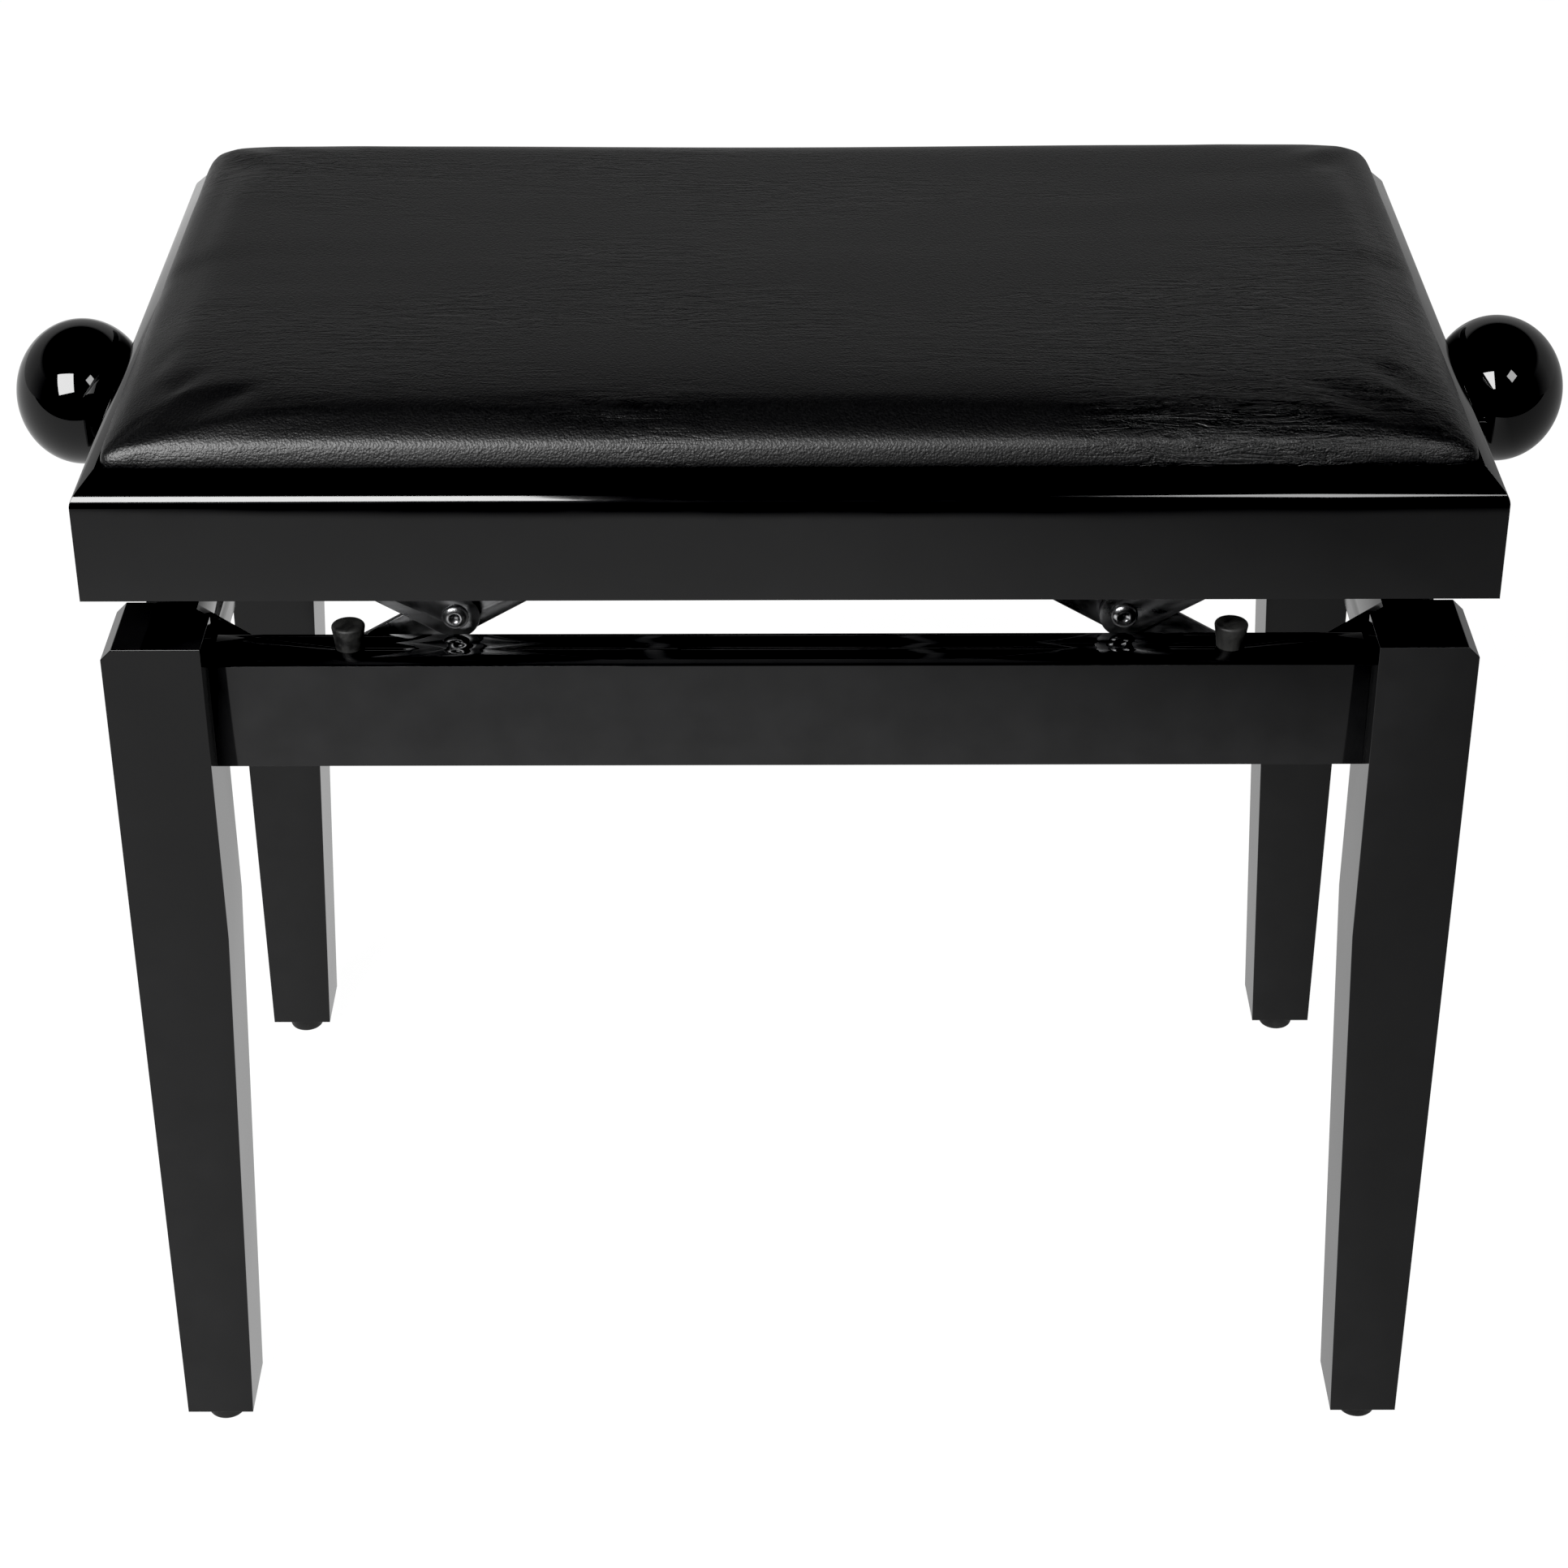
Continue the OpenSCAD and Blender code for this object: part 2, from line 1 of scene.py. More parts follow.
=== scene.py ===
# %% [markdown]
# # A piano bench in black lacquer
#
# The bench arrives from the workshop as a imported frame: every leg, rail, arm and screw is already
# in its place, in metres, with the floor at z = 0 and the front towards -Y. This lesson dresses
# it. It softens the edges of the lacquered wood, blows up the seat cushion with a cloth
# simulation, cuts the spindle's two threads, and gives each piece the finish of the real one.

import json
import math

import bmesh
import bpy
from mathutils import Matrix, Vector, noise


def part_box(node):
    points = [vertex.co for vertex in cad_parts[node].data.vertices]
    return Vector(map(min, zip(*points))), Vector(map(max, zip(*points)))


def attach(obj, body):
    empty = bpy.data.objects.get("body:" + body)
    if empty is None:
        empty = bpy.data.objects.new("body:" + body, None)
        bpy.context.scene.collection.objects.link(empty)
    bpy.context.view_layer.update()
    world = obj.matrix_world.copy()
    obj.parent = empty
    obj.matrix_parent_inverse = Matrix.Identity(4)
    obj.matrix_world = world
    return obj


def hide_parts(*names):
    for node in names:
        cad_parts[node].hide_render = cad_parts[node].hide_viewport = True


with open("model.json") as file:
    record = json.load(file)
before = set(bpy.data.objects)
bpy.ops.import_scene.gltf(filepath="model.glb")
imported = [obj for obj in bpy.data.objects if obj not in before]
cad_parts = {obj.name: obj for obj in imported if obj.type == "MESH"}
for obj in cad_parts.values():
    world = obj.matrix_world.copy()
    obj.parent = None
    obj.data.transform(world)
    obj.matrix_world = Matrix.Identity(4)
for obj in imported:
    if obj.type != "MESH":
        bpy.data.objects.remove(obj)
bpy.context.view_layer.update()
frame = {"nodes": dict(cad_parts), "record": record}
nodes = frame["nodes"]
MM = 0.001

# %% [markdown]
# ## The camera
#
# The bench is seen from in front and above, as a shop shows it. A long lens keeps the legs from
# splaying. The picture is framed with a little lens shift, so that the legs run down the frame
# without the camera being tipped further. The black point of the picture is set a hair above
# zero, so that the deepest reflections go fully black.

# %% Camera
EYE = Vector((0.0008, -1.3590, 1.0774))
TURN, TIP, LEAN = 0.0026, -0.5262, 0.0034
LENS, FILM_WIDTH, SHIFT_UP = 79.07, 36.0, -0.054
BLACK_POINT = 0.005

camera_data = bpy.data.cameras.new("portrait")
camera_data.sensor_width = FILM_WIDTH
camera_data.lens = LENS
camera_data.shift_y = SHIFT_UP
camera_data.clip_start = 0.05
camera = bpy.data.objects.new("portrait", camera_data)
look = Matrix.Rotation(TURN, 4, "Z") @ Matrix.Rotation(TIP, 4, "X") @ Matrix.Rotation(LEAN, 4, "Y")
camera.matrix_world = Matrix.Translation(EYE) @ look @ Matrix.Rotation(math.radians(90), 4, "X")
bpy.context.collection.objects.link(camera)
bpy.context.scene.camera = camera
grade = bpy.context.scene.view_settings
grade.view_transform = "Standard"
grade.use_curve_mapping = True
grade.curve_mapping.black_level = (BLACK_POINT, BLACK_POINT, BLACK_POINT)
grade.curve_mapping.update()
print("camera at", tuple(round(v, 3) for v in EYE))

# %% [markdown]
# ## Small helpers for nodes
#
# Materials, shader groups and Geometry Nodes are all node trees. These helpers keep the later
# cells short: they add a node with its plain values, join two sockets, do one sum, spread a value
# over a range, and mix two colours.


# %% Node helpers
def add(tree, kind, **values):
    """Adds a node. A value whose name is a socket's is set on the socket, others on the node."""
    node = tree.nodes.new(kind)
    for name, value in values.items():
        socket = node.inputs.get(name.replace("_", " "))
        if socket is not None:
            socket.default_value = value
        else:
            setattr(node, name, value)
    return node


def join(tree, source, target):
    tree.links.new(source, target)


def shader_group(name, inputs, outputs):
    """An empty shader group with float inputs {name: default} and outputs {name: socket type}."""
    group = bpy.data.node_groups.new(name, "ShaderNodeTree")
    for label, default in inputs.items():
        socket = group.interface.new_socket(label, in_out="INPUT", socket_type="NodeSocketFloat")
        socket.default_value = default
    for label, kind in outputs.items():
        group.interface.new_socket(label, in_out="OUTPUT", socket_type=kind)
    return group, group.nodes.new("NodeGroupInput"), group.nodes.new("NodeGroupOutput")


def use_group(tree, group, **values):
    node = tree.nodes.new("ShaderNodeGroup")
    node.node_tree = group
    for name, value in values.items():
        node.inputs[name.replace("_", " ")].default_value = value
    return node


def math_node(tree, operation, first, second, clamp=False):
    """A Math node: each of its two terms is a number or another node's output."""
    node = add(tree, "ShaderNodeMath", operation=operation, use_clamp=clamp)
    for place, term in enumerate((first, second)):
        if isinstance(term, (int, float)):
            node.inputs[place].default_value = term
        else:
            join(tree, term, node.inputs[place])
    return node.outputs[0]


def ramp_value(tree, value, start, end, at_start, at_end):
    """Maps a value from one range to another, and holds it at the ends."""
    spread = add(tree, "ShaderNodeMapRange", clamp=True)
    for label, number in (("From Min", start), ("From Max", end), ("To Min", at_start), ("To Max", at_end)):
        spread.inputs[label].default_value = number
    join(tree, value, spread.inputs["Value"])
    return spread.outputs["Result"]


def blend_colour(tree, mask, dark, light):
    """Mixes two plain colours by a mask."""
    ramp = tree.nodes.new("ShaderNodeValToRGB")
    ramp.color_ramp.elements[0].color = (*dark, 1)
    ramp.color_ramp.elements[1].color = (*light, 1)
    join(tree, mask, ramp.inputs["Fac"])
    return ramp.outputs["Color"]


# %% [markdown]
# ## Effects that several finishes share
#
# Handling leaves the same marks on lacquer, steel and rubber: faint smears where hands and cloths
# have passed, fine scratches that run one way, and edges rubbed a little brighter. Each effect is
# a shader group, built once. A group gives out a mask, and each material decides what to do with
# it, so lacquer only loses a little gloss where steel changes its colour.


# %% Smears: soft cloudy patches
smears, g_in, g_out = shader_group(
    "smears", {"Scale": 14.0, "Low": 0.42, "High": 0.72}, {"Mask": "NodeSocketFloat"}
)
place = add(smears, "ShaderNodeTexCoord")
cloud = add(smears, "ShaderNodeTexNoise", Detail=5.0, Roughness=0.62, Distortion=0.6)
spread = add(smears, "ShaderNodeMapRange", clamp=True)
join(smears, place.outputs["Object"], cloud.inputs["Vector"])
join(smears, g_in.outputs["Scale"], cloud.inputs["Scale"])
join(smears, cloud.outputs["Fac"], spread.inputs["Value"])
join(smears, g_in.outputs["Low"], spread.inputs["From Min"])
join(smears, g_in.outputs["High"], spread.inputs["From Max"])
join(smears, spread.outputs["Result"], g_out.inputs["Mask"])
print("group:", smears.name)

# %% Rubbed edges: found from how sharply the surface bends at each point
rubbed, g_in, g_out = shader_group(
    "rubbed_edges", {"Start": 0.52, "End": 0.62, "Breakup": 45.0}, {"Mask": "NodeSocketFloat"}
)
bend = add(rubbed, "ShaderNodeNewGeometry")
place = add(rubbed, "ShaderNodeTexCoord")
chips = add(rubbed, "ShaderNodeTexNoise", Detail=3.0)
spread = add(rubbed, "ShaderNodeMapRange", clamp=True)
join(rubbed, place.outputs["Object"], chips.inputs["Vector"])
join(rubbed, g_in.outputs["Breakup"], chips.inputs["Scale"])
join(rubbed, bend.outputs["Pointiness"], spread.inputs["Value"])
join(rubbed, g_in.outputs["Start"], spread.inputs["From Min"])
join(rubbed, g_in.outputs["End"], spread.inputs["From Max"])
join(
    rubbed,
    math_node(rubbed, "MULTIPLY", spread.outputs["Result"], chips.outputs["Fac"], clamp=True),
    g_out.inputs["Mask"],
)
print("group:", rubbed.name)

# %% Brushing: fine lines along X, for rolled and turned steel
brushing, g_in, g_out = shader_group(
    "brushing", {"Along": 20.0, "Across": 900.0}, {"Height": "NodeSocketFloat"}
)
place = add(brushing, "ShaderNodeTexCoord")
stretch = add(brushing, "ShaderNodeVectorMath", operation="MULTIPLY")
scales = add(brushing, "ShaderNodeCombineXYZ")
lines = add(brushing, "ShaderNodeTexNoise", Scale=1.0, Detail=2.0)
join(brushing, g_in.outputs["Along"], scales.inputs["X"])
join(brushing, g_in.outputs["Across"], scales.inputs["Y"])
join(brushing, g_in.outputs["Across"], scales.inputs["Z"])
join(brushing, place.outputs["Object"], stretch.inputs[0])
join(brushing, scales.outputs[0], stretch.inputs[1])
join(brushing, stretch.outputs[0], lines.inputs["Vector"])
join(brushing, lines.outputs["Fac"], g_out.inputs["Height"])
print("group:", brushing.name)


# %% [markdown]
# ## Finishes
#
# Every material starts from the Principled shader. Values that are the same all over go on its
# own sockets. Values that change over the surface come from the groups above.


# %% Material helpers
def new_finish(name, **values):
    material = bpy.data.materials.new(name)
    material.use_nodes = True
    tree = material.node_tree
    shader = tree.nodes["Principled BSDF"]
    for socket, value in values.items():
        shader.inputs[socket.replace("_", " ")].default_value = value
    return material, tree, shader


def vary_roughness(tree, shader, mask, smooth, rough):
    join(tree, ramp_value(tree, mask, 0.0, 1.0, smooth, rough), shader.inputs["Roughness"])


def bump(tree, shader, height, distance, strength=1.0):
    node = add(tree, "ShaderNodeBump", Strength=strength, Distance=distance)
    join(tree, height, node.inputs["Height"])
    join(tree, node.outputs["Normal"], shader.inputs["Normal"])


# %% [markdown]
# ### Black lacquer
#
# Piano lacquer is sprayed polyester, sanded and buffed. It is nearly black with hardly any colour
# of its own, so what is seen is the room in it. Buffing leaves two things: the surface rolls very
# slightly over centimetres, which makes reflections waver, and polishing smears change the gloss.


# %% Lacquer
LACQUER_DEEP, LACQUER_RUBBED = (0.0008, 0.0008, 0.0009), (0.012, 0.012, 0.0125)


def make_lacquer(name, smooth, rough, roll):
    material, tree, shader = new_finish(name, IOR=1.5, Specular_IOR_Level=0.42)
    smear = use_group(tree, smears, Scale=11.0)
    edge = use_group(tree, rubbed, Start=0.53, End=0.66)
    colour = blend_colour(tree, edge.outputs["Mask"], LACQUER_DEEP, LACQUER_RUBBED)
    join(tree, colour, shader.inputs["Base Color"])
    vary_roughness(tree, shader, smear.outputs["Mask"], smooth, rough)
    place = add(tree, "ShaderNodeTexCoord")
    waver = add(tree, "ShaderNodeTexNoise", Scale=9.0, Detail=1.0)
    join(tree, place.outputs["Object"], waver.inputs["Vector"])
    bump(tree, shader, waver.outputs["Fac"], roll)
    return material


lacquer = make_lacquer("black_lacquer", 0.045, 0.12, 0.0006)
knob_lacquer = make_lacquer("knob_lacquer", 0.02, 0.05, 0.0001)
print("finishes:", lacquer.name, knob_lacquer.name)

# %% [markdown]
# ### Leatherette
#
# The cover is a pressed vinyl: a fine pebbled grain about a millimetre across, from two sizes of
# Voronoi cell, and long shallow creases where the sheet was pulled lengthways over the foam. The
# creases come in patches, so a slow noise says where they are deep. All of it is bump, with a small
# change of gloss and of colour, and the colour is painted shade: darker in the creases and where the
# grain is low. The larger folds at the corners are modelled in the mesh.

# %% Leatherette
# The cover's colour in the creases and the low grain, darker as painted shade, and on the raised grain
LEATHER_SHADED_HOLLOWS, LEATHER_RAISED = (0.0006, 0.0006, 0.0007), (0.0024, 0.0024, 0.0026)
PEBBLE_SHARE, PORE_SHARE, CREASE_SHARE = 0.55, 0.6, 0.95
leather, tree, shader = new_finish("black_leatherette", IOR=1.48, Specular_IOR_Level=0.42)
place = add(tree, "ShaderNodeTexCoord")


def stretched(tree, coordinates, scale, turn=0.0):
    node = add(tree, "ShaderNodeMapping")
    node.inputs["Scale"].default_value = scale
    node.inputs["Rotation"].default_value = (0.0, 0.0, turn)
    join(tree, coordinates, node.inputs["Vector"])
    return node.outputs["Vector"]


pebbles = add(tree, "ShaderNodeTexVoronoi", Scale=1100.0, feature="SMOOTH_F1", Smoothness=0.6)
join(tree, place.outputs["Object"], pebbles.inputs["Vector"])
pores = add(tree, "ShaderNodeTexNoise", Scale=700.0, Detail=3.0, Roughness=0.6)
join(tree, place.outputs["Object"], pores.inputs["Vector"])
creases = add(tree, "ShaderNodeTexNoise", Scale=1.0, Detail=4.0, Roughness=0.62, Distortion=0.9)
join(tree, stretched(tree, place.outputs["Object"], (34, 210, 210), 0.03), creases.inputs["Vector"])
ridge = math_node(tree, "ABSOLUTE", math_node(tree, "SUBTRACT", creases.outputs["Fac"], 0.5), 0.0)
ridge = math_node(tree, "SUBTRACT", 1.0, math_node(tree, "MULTIPLY", ridge, 9.0, clamp=True))
patches = add(tree, "ShaderNodeTexNoise", Scale=1.0, Detail=2.0)
join(tree, stretched(tree, place.outputs["Object"], (4.5, 11, 11)), patches.inputs["Vector"])
patch = ramp_value(tree, patches.outputs["Fac"], 0.49, 0.66, 0.0, 1.0)
ridge = math_node(tree, "MULTIPLY", ridge, patch)
grain = math_node(tree, "MULTIPLY", pebbles.outputs["Distance"], PEBBLE_SHARE)
grain = math_node(tree, "ADD", grain, math_node(tree, "MULTIPLY", pores.outputs["Fac"], PORE_SHARE))
grain = math_node(tree, "SUBTRACT", grain, math_node(tree, "MULTIPLY", ridge, CREASE_SHARE))
bump(tree, shader, grain, 0.00022)
vary_roughness(tree, shader, grain, 0.36, 0.46)
# Painted shade: the colour follows the grain's height, darker in the creases and the low spots
join(tree, blend_colour(tree, grain, LEATHER_SHADED_HOLLOWS, LEATHER_RAISED), shader.inputs["Base Color"])
print("finish:", leather.name)

# %% [markdown]
# ### Metals, rubber and painted board
#
# The arms and rails are flat steel under a thin dark zinc coat, so they are grey with brushed
# lines and rubbed edges. Pins and rods are turned and left bright. The seat board is never seen by
# a player, and has one thin coat of black paint with the grain showing through it.


# %% Metals
def make_steel(name, dull, worn, smooth, rough, along=20.0, across=900.0):
    material, tree, shader = new_finish(name, Metallic=1.0)
    smear = use_group(tree, smears, Scale=60.0, Low=0.35, High=0.7)
    edge = use_group(tree, rubbed)
    line = use_group(tree, brushing, Along=along, Across=across)
    worn_patches = math_node(tree, "MULTIPLY", smear.outputs["Mask"], 0.35)
    wear = math_node(tree, "ADD", edge.outputs["Mask"], worn_patches, clamp=True)
    join(tree, blend_colour(tree, wear, dull, worn), shader.inputs["Base Color"])
    vary_roughness(tree, shader, smear.outputs["Mask"], smooth, rough)
    bump(tree, shader, line.outputs["Height"], 0.00005)
    return material


arm_steel = make_steel("zinc_steel", (0.16, 0.162, 0.166), (0.42, 0.42, 0.425), 0.26, 0.44)
pin_steel = make_steel("bright_steel", (0.27, 0.272, 0.278), (0.55, 0.55, 0.555), 0.22, 0.42, 300.0, 300.0)
bush_metal = make_steel("dark_plated_bush", (0.02, 0.02, 0.022), (0.09, 0.085, 0.08), 0.14, 0.26, 60.0, 60.0)
print("finishes:", arm_steel.name, pin_steel.name, bush_metal.name)

# %% Rubber
rubber, tree, shader = new_finish("black_rubber", IOR=1.5, Specular_IOR_Level=0.35)
smear = use_group(tree, smears, Scale=90.0, Low=0.4, High=0.66)
skin_colour = blend_colour(tree, smear.outputs["Mask"], (0.006, 0.006, 0.006), (0.022, 0.022, 0.021))
join(tree, skin_colour, shader.inputs["Base Color"])
vary_roughness(tree, shader, smear.outputs["Mask"], 0.42, 0.66)
place = add(tree, "ShaderNodeTexCoord")
skin = add(tree, "ShaderNodeTexNoise", Scale=900.0, Detail=2.0)
join(tree, place.outputs["Object"], skin.inputs["Vector"])
bump(tree, shader, skin.outputs["Fac"], 0.0001)
print("finish:", rubber.name)

# %% Painted board
board_paint, tree, shader = new_finish("black_board", IOR=1.45, Specular_IOR_Level=0.25)
place = add(tree, "ShaderNodeTexCoord")
rings = add(tree, "ShaderNodeTexNoise", Scale=1.0, Detail=6.0, Roughness=0.55, Distortion=1.2)
join(tree, stretched(tree, place.outputs["Object"], (6, 60, 60)), rings.inputs["Vector"])
paint_colour = blend_colour(tree, rings.outputs["Fac"], (0.004, 0.004, 0.004), (0.014, 0.013, 0.012))
join(tree, paint_colour, shader.inputs["Base Color"])
vary_roughness(tree, shader, rings.outputs["Fac"], 0.5, 0.72)
bump(tree, shader, rings.outputs["Fac"], 0.0003)
print("finish:", board_paint.name)

# %% [markdown]
# ## Lacquered wood with real edges
#
# A planed board has knife edges, and a lacquered one hasn't: sanding and the thickness of the coat
# round each edge to a millimetre or so, and that round edge is what catches the light. Each wooden
# node is copied, its flat triangles are merged back into whole faces, and a Bevel modifier rounds
# its sharp edges. The copy then stands for the node. Smooth shading leans a long face towards its
# rounded edges, and a mirror finish shows that as a bend in the reflection, so the legs' faces have
# their normals weighted by area, which makes them flat again.


# %% Copies with rounded edges
def link(obj):
    bpy.context.collection.objects.link(obj)
    return obj


def baked(obj):
    """Turns an object with live modifiers into a plain mesh, and drops the modifiers."""
    bpy.context.view_layer.update()
    evaluated = obj.evaluated_get(bpy.context.evaluated_depsgraph_get())
    mesh = bpy.data.meshes.new_from_object(evaluated)
    obj.modifiers.clear()
    obj.data = mesh
    return obj


def dress(obj, material, body, *stands_for):
    obj.data.materials.clear()
    obj.data.materials.append(material)
    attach(obj, body)
    if stands_for:
        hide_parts(*stands_for)


def merged_copy(node, name):
    mesh = nodes[node].data.copy()
    shape = bmesh.new()
    shape.from_mesh(mesh)
    bmesh.ops.remove_doubles(shape, verts=shape.verts, dist=1e-6)
    bmesh.ops.dissolve_limit(shape, angle_limit=math.radians(0.5), verts=shape.verts, edges=shape.edges)
    shape.to_mesh(mesh)
    shape.free()
    mesh.name = name
    return link(bpy.data.objects.new(name, mesh))


def shade(mesh, degrees):
    """Smooth shading, except over edges sharper than the angle."""
    mesh.shade_smooth()
    mesh.set_sharp_from_angle(angle=math.radians(degrees))


def soften(obj, width, segments=3):
    """Rounds every edge sharper than 28 degrees."""
    bevel = obj.modifiers.new("rounded edges", "BEVEL")
    bevel.width = width
    bevel.segments = segments
    bevel.limit_method = "ANGLE"
    bevel.angle_limit = math.radians(28)
    bevel.use_clamp_overlap = True
    baked(obj)
    shade(obj.data, 35)
    return obj


def keep_flat(obj):
    """Weights the normals by area, so that only the rounded edges turn the light."""
    weighted = obj.modifiers.new("flat faces", "WEIGHTED_NORMAL")
    weighted.mode = "FACE_AREA"
    weighted.weight = 100
    weighted.keep_sharp = True
    baked(obj)


# %% Legs, aprons and rim
bodies = frame["record"]["behaviour"]["bodies"]
body_of = {node: body for body, members in bodies.items() for node in members}
LACQUERED = [name for name in nodes if name.startswith(("leg_front", "leg_back", "apron_", "rim_"))]
for node in LACQUERED:
    piece = soften(merged_copy(node, node + "_lacquered"), 1.1 * MM)
    if node.startswith("leg_"):
        keep_flat(piece)
    dress(piece, lacquer, body_of[node], node)
print("lacquered pieces:", len(LACQUERED))

# %% Arms and rails: pressed steel with a fine burr-free edge
PLATE_NAMES = ("long_arm", "short_arm", "base_rail_f", "base_rail_b", "seat_rail_f", "seat_rail_b")
STEEL_PLATES = [name for name in nodes if name.startswith(PLATE_NAMES)]
for node in STEEL_PLATES:
    piece = soften(merged_copy(node, node + "_pressed"), 0.35 * MM, 2)
    dress(piece, arm_steel, body_of[node], node)
print("steel plates:", len(STEEL_PLATES))

# %% [markdown]
# ## The cushion
#
# The cushion is foam under a sheet of leatherette, pulled down and tucked in behind the rim. A
# formula gives the slab its crown, a little lower than the finished cushion. The slab is remeshed
# into even squares, its lower edge is pinned where the tuck holds it, and a cloth simulation
# presses it out with air. The shape comes mostly from the formula: the cap on how far a point may
# move is little more than a millimetre, because more of it drew saddles into the top.

# %% The pad before it is filled
pad_low, pad_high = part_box("cushion")
rim_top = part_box("rim_front")[1][2]
HALF_X = (pad_high[0] - pad_low[0]) / 2
HALF_Y = (pad_high[1] - pad_low[1]) / 2
TUCK_Z = rim_top + 0.5 * MM
SHY = 1.0 * MM
# How late and how tightly the top turns down: a higher power turns later, a lower bend tighter
END_POWER_BACK, END_POWER_FRONT, END_BEND = 34, 24, 0.40
BACK_POWER, BACK_BEND = 34, 0.42
FRONT_POWER, FRONT_BEND = 6.0, 0.29
print("cushion", round(HALF_X / MM) * 2, "x", round(HALF_Y / MM) * 2, "mm")


def crown(across, depth):
    """Height of the pad over its tuck line, as a share of its rise: across and depth run -1 to 1.

    The back and the ends turn down squarely, and the front falls away in a long roll.
    """
    end_power = END_POWER_BACK if depth > 0 else END_POWER_FRONT
    side = max(0.0, 1 - abs(across) ** end_power) ** END_BEND
    if depth > 0:
        return side * max(0.0, 1 - depth ** BACK_POWER) ** BACK_BEND
    return side * max(0.0, 1 - abs(depth) ** FRONT_POWER) ** FRONT_BEND


def grid_pad(name, columns, rows, rise):
    """A closed slab with a crowned top. Its points are closer together near its edges."""
    shape = bmesh.new()
    spread_x = [math.sin(math.radians(90) * (2 * i / columns - 1)) for i in range(columns + 1)]
    spread_y = [math.sin(math.radians(90) * (2 * j / rows - 1)) for j in range(rows + 1)]
    top = [
        [shape.verts.new((u * HALF_X, v * HALF_Y, TUCK_Z + rise * crown(u, v))) for u in spread_x]
        for v in spread_y
    ]
    bottom = [
        [shape.verts.new((u * HALF_X, v * HALF_Y, pad_low[2])) for u in spread_x] for v in spread_y
    ]
    for j in range(rows):
        for i in range(columns):
            shape.faces.new((top[j][i], top[j][i + 1], top[j + 1][i + 1], top[j + 1][i]))
            shape.faces.new((bottom[j][i], bottom[j + 1][i], bottom[j + 1][i + 1], bottom[j][i + 1]))
    rim = [(0, i) for i in range(columns)] + [(j, columns) for j in range(rows)]
    rim += [(rows, i) for i in range(columns, 0, -1)] + [(j, 0) for j in range(rows, 0, -1)]
    for here, after in zip(rim, rim[1:] + rim[:1]):
        low, low_after = bottom[here[0]][here[1]], bottom[after[0]][after[1]]
        shape.faces.new((low, low_after, top[after[0]][after[1]], top[here[0]][here[1]]))
    bmesh.ops.recalc_face_normals(shape, faces=shape.faces)
    mesh = bpy.data.meshes.new(name)
    shape.to_mesh(mesh)
    shape.free()
    return link(bpy.data.objects.new(name, mesh))


cushion = grid_pad("leather_cushion", 60, 36, pad_high[2] - TUCK_Z - SHY)
remesh = cushion.modifiers.new("even squares", "REMESH")
remesh.mode = "VOXEL"
remesh.voxel_size = 4 * MM
baked(cushion)
print("pad faces:", len(cushion.data.polygons))

# %% Fill it
FRAMES = 16
MOST_MOVE = 1.4 * MM


def inflate(obj):
    """Presses the pad out, and returns the furthest that a point moved before the cap."""
    start = [vertex.co.copy() for vertex in obj.data.vertices]
    held = obj.vertex_groups.new(name="tucked")
    held.add([i for i, co in enumerate(start) if co.z < TUCK_Z + 1.5 * MM], 1.0, "REPLACE")
    cloth = obj.modifiers.new("filling", "CLOTH")
    cloth.settings.quality = 6
    cloth.settings.mass = 0.4
    cloth.settings.tension_stiffness = 18
    cloth.settings.compression_stiffness = 18
    cloth.settings.shear_stiffness = 8
    cloth.settings.bending_stiffness = 0.6
    cloth.settings.use_pressure = True
    cloth.settings.uniform_pressure_force = 4.0
    cloth.settings.vertex_group_mass = "tucked"
    cloth.settings.effector_weights.gravity = 0
    cloth.collision_settings.use_collision = False
    scene = bpy.context.scene
    for step in range(1, FRAMES + 1):
        scene.frame_set(step)
    filled = obj.evaluated_get(bpy.context.evaluated_depsgraph_get()).data
    places = [vertex.co.copy() for vertex in filled.vertices]
    obj.modifiers.clear()
    scene.frame_set(1)
    for vertex, before, after in zip(obj.data.vertices, start, places):
        move = after - before
        if move.length > MOST_MOVE:
            move *= MOST_MOVE / move.length
        vertex.co = before + move
    obj.vertex_groups.clear()
    return max((after - before).length for before, after in zip(start, places))


print("furthest move before the cap, mm:", round(inflate(cushion) * 1000, 1))

calm = cushion.modifiers.new("calm", "SMOOTH")
calm.factor = 0.5
calm.iterations = 3
divide = cushion.modifiers.new("finer", "SUBSURF")
divide.levels = divide.render_levels = 1
baked(cushion)
print("cushion faces:", len(cushion.data.polygons))

# %% [markdown]
# ### Pulls and pleats
#
# Where the cover turns down at a front corner, there is more leather than room for it, so it is
# folded into a small pleat that points at the corner. Long shallow pulls run in from the ends, and
# the top sinks a little towards the back. These are too big for bump: they change the outline, so
# the points themselves are moved.


# %% Shape the cover
CORNER_REACH, PLEAT_REACH, PLEAT_WIDTH = 30 * MM, 20 * MM, 2.4 * MM
# The most that each of them moves the cover, in mm
SAG, CORNER_DROP, PLEAT_DEPTH, PULL, RIPPLE = 1.8, 1.1, 1.5, 0.25, 0.22


def hill(distance, width):
    """A smooth hill: 1 at its middle, and about a third of that one width away."""
    return math.exp(-((distance / width) ** 2))


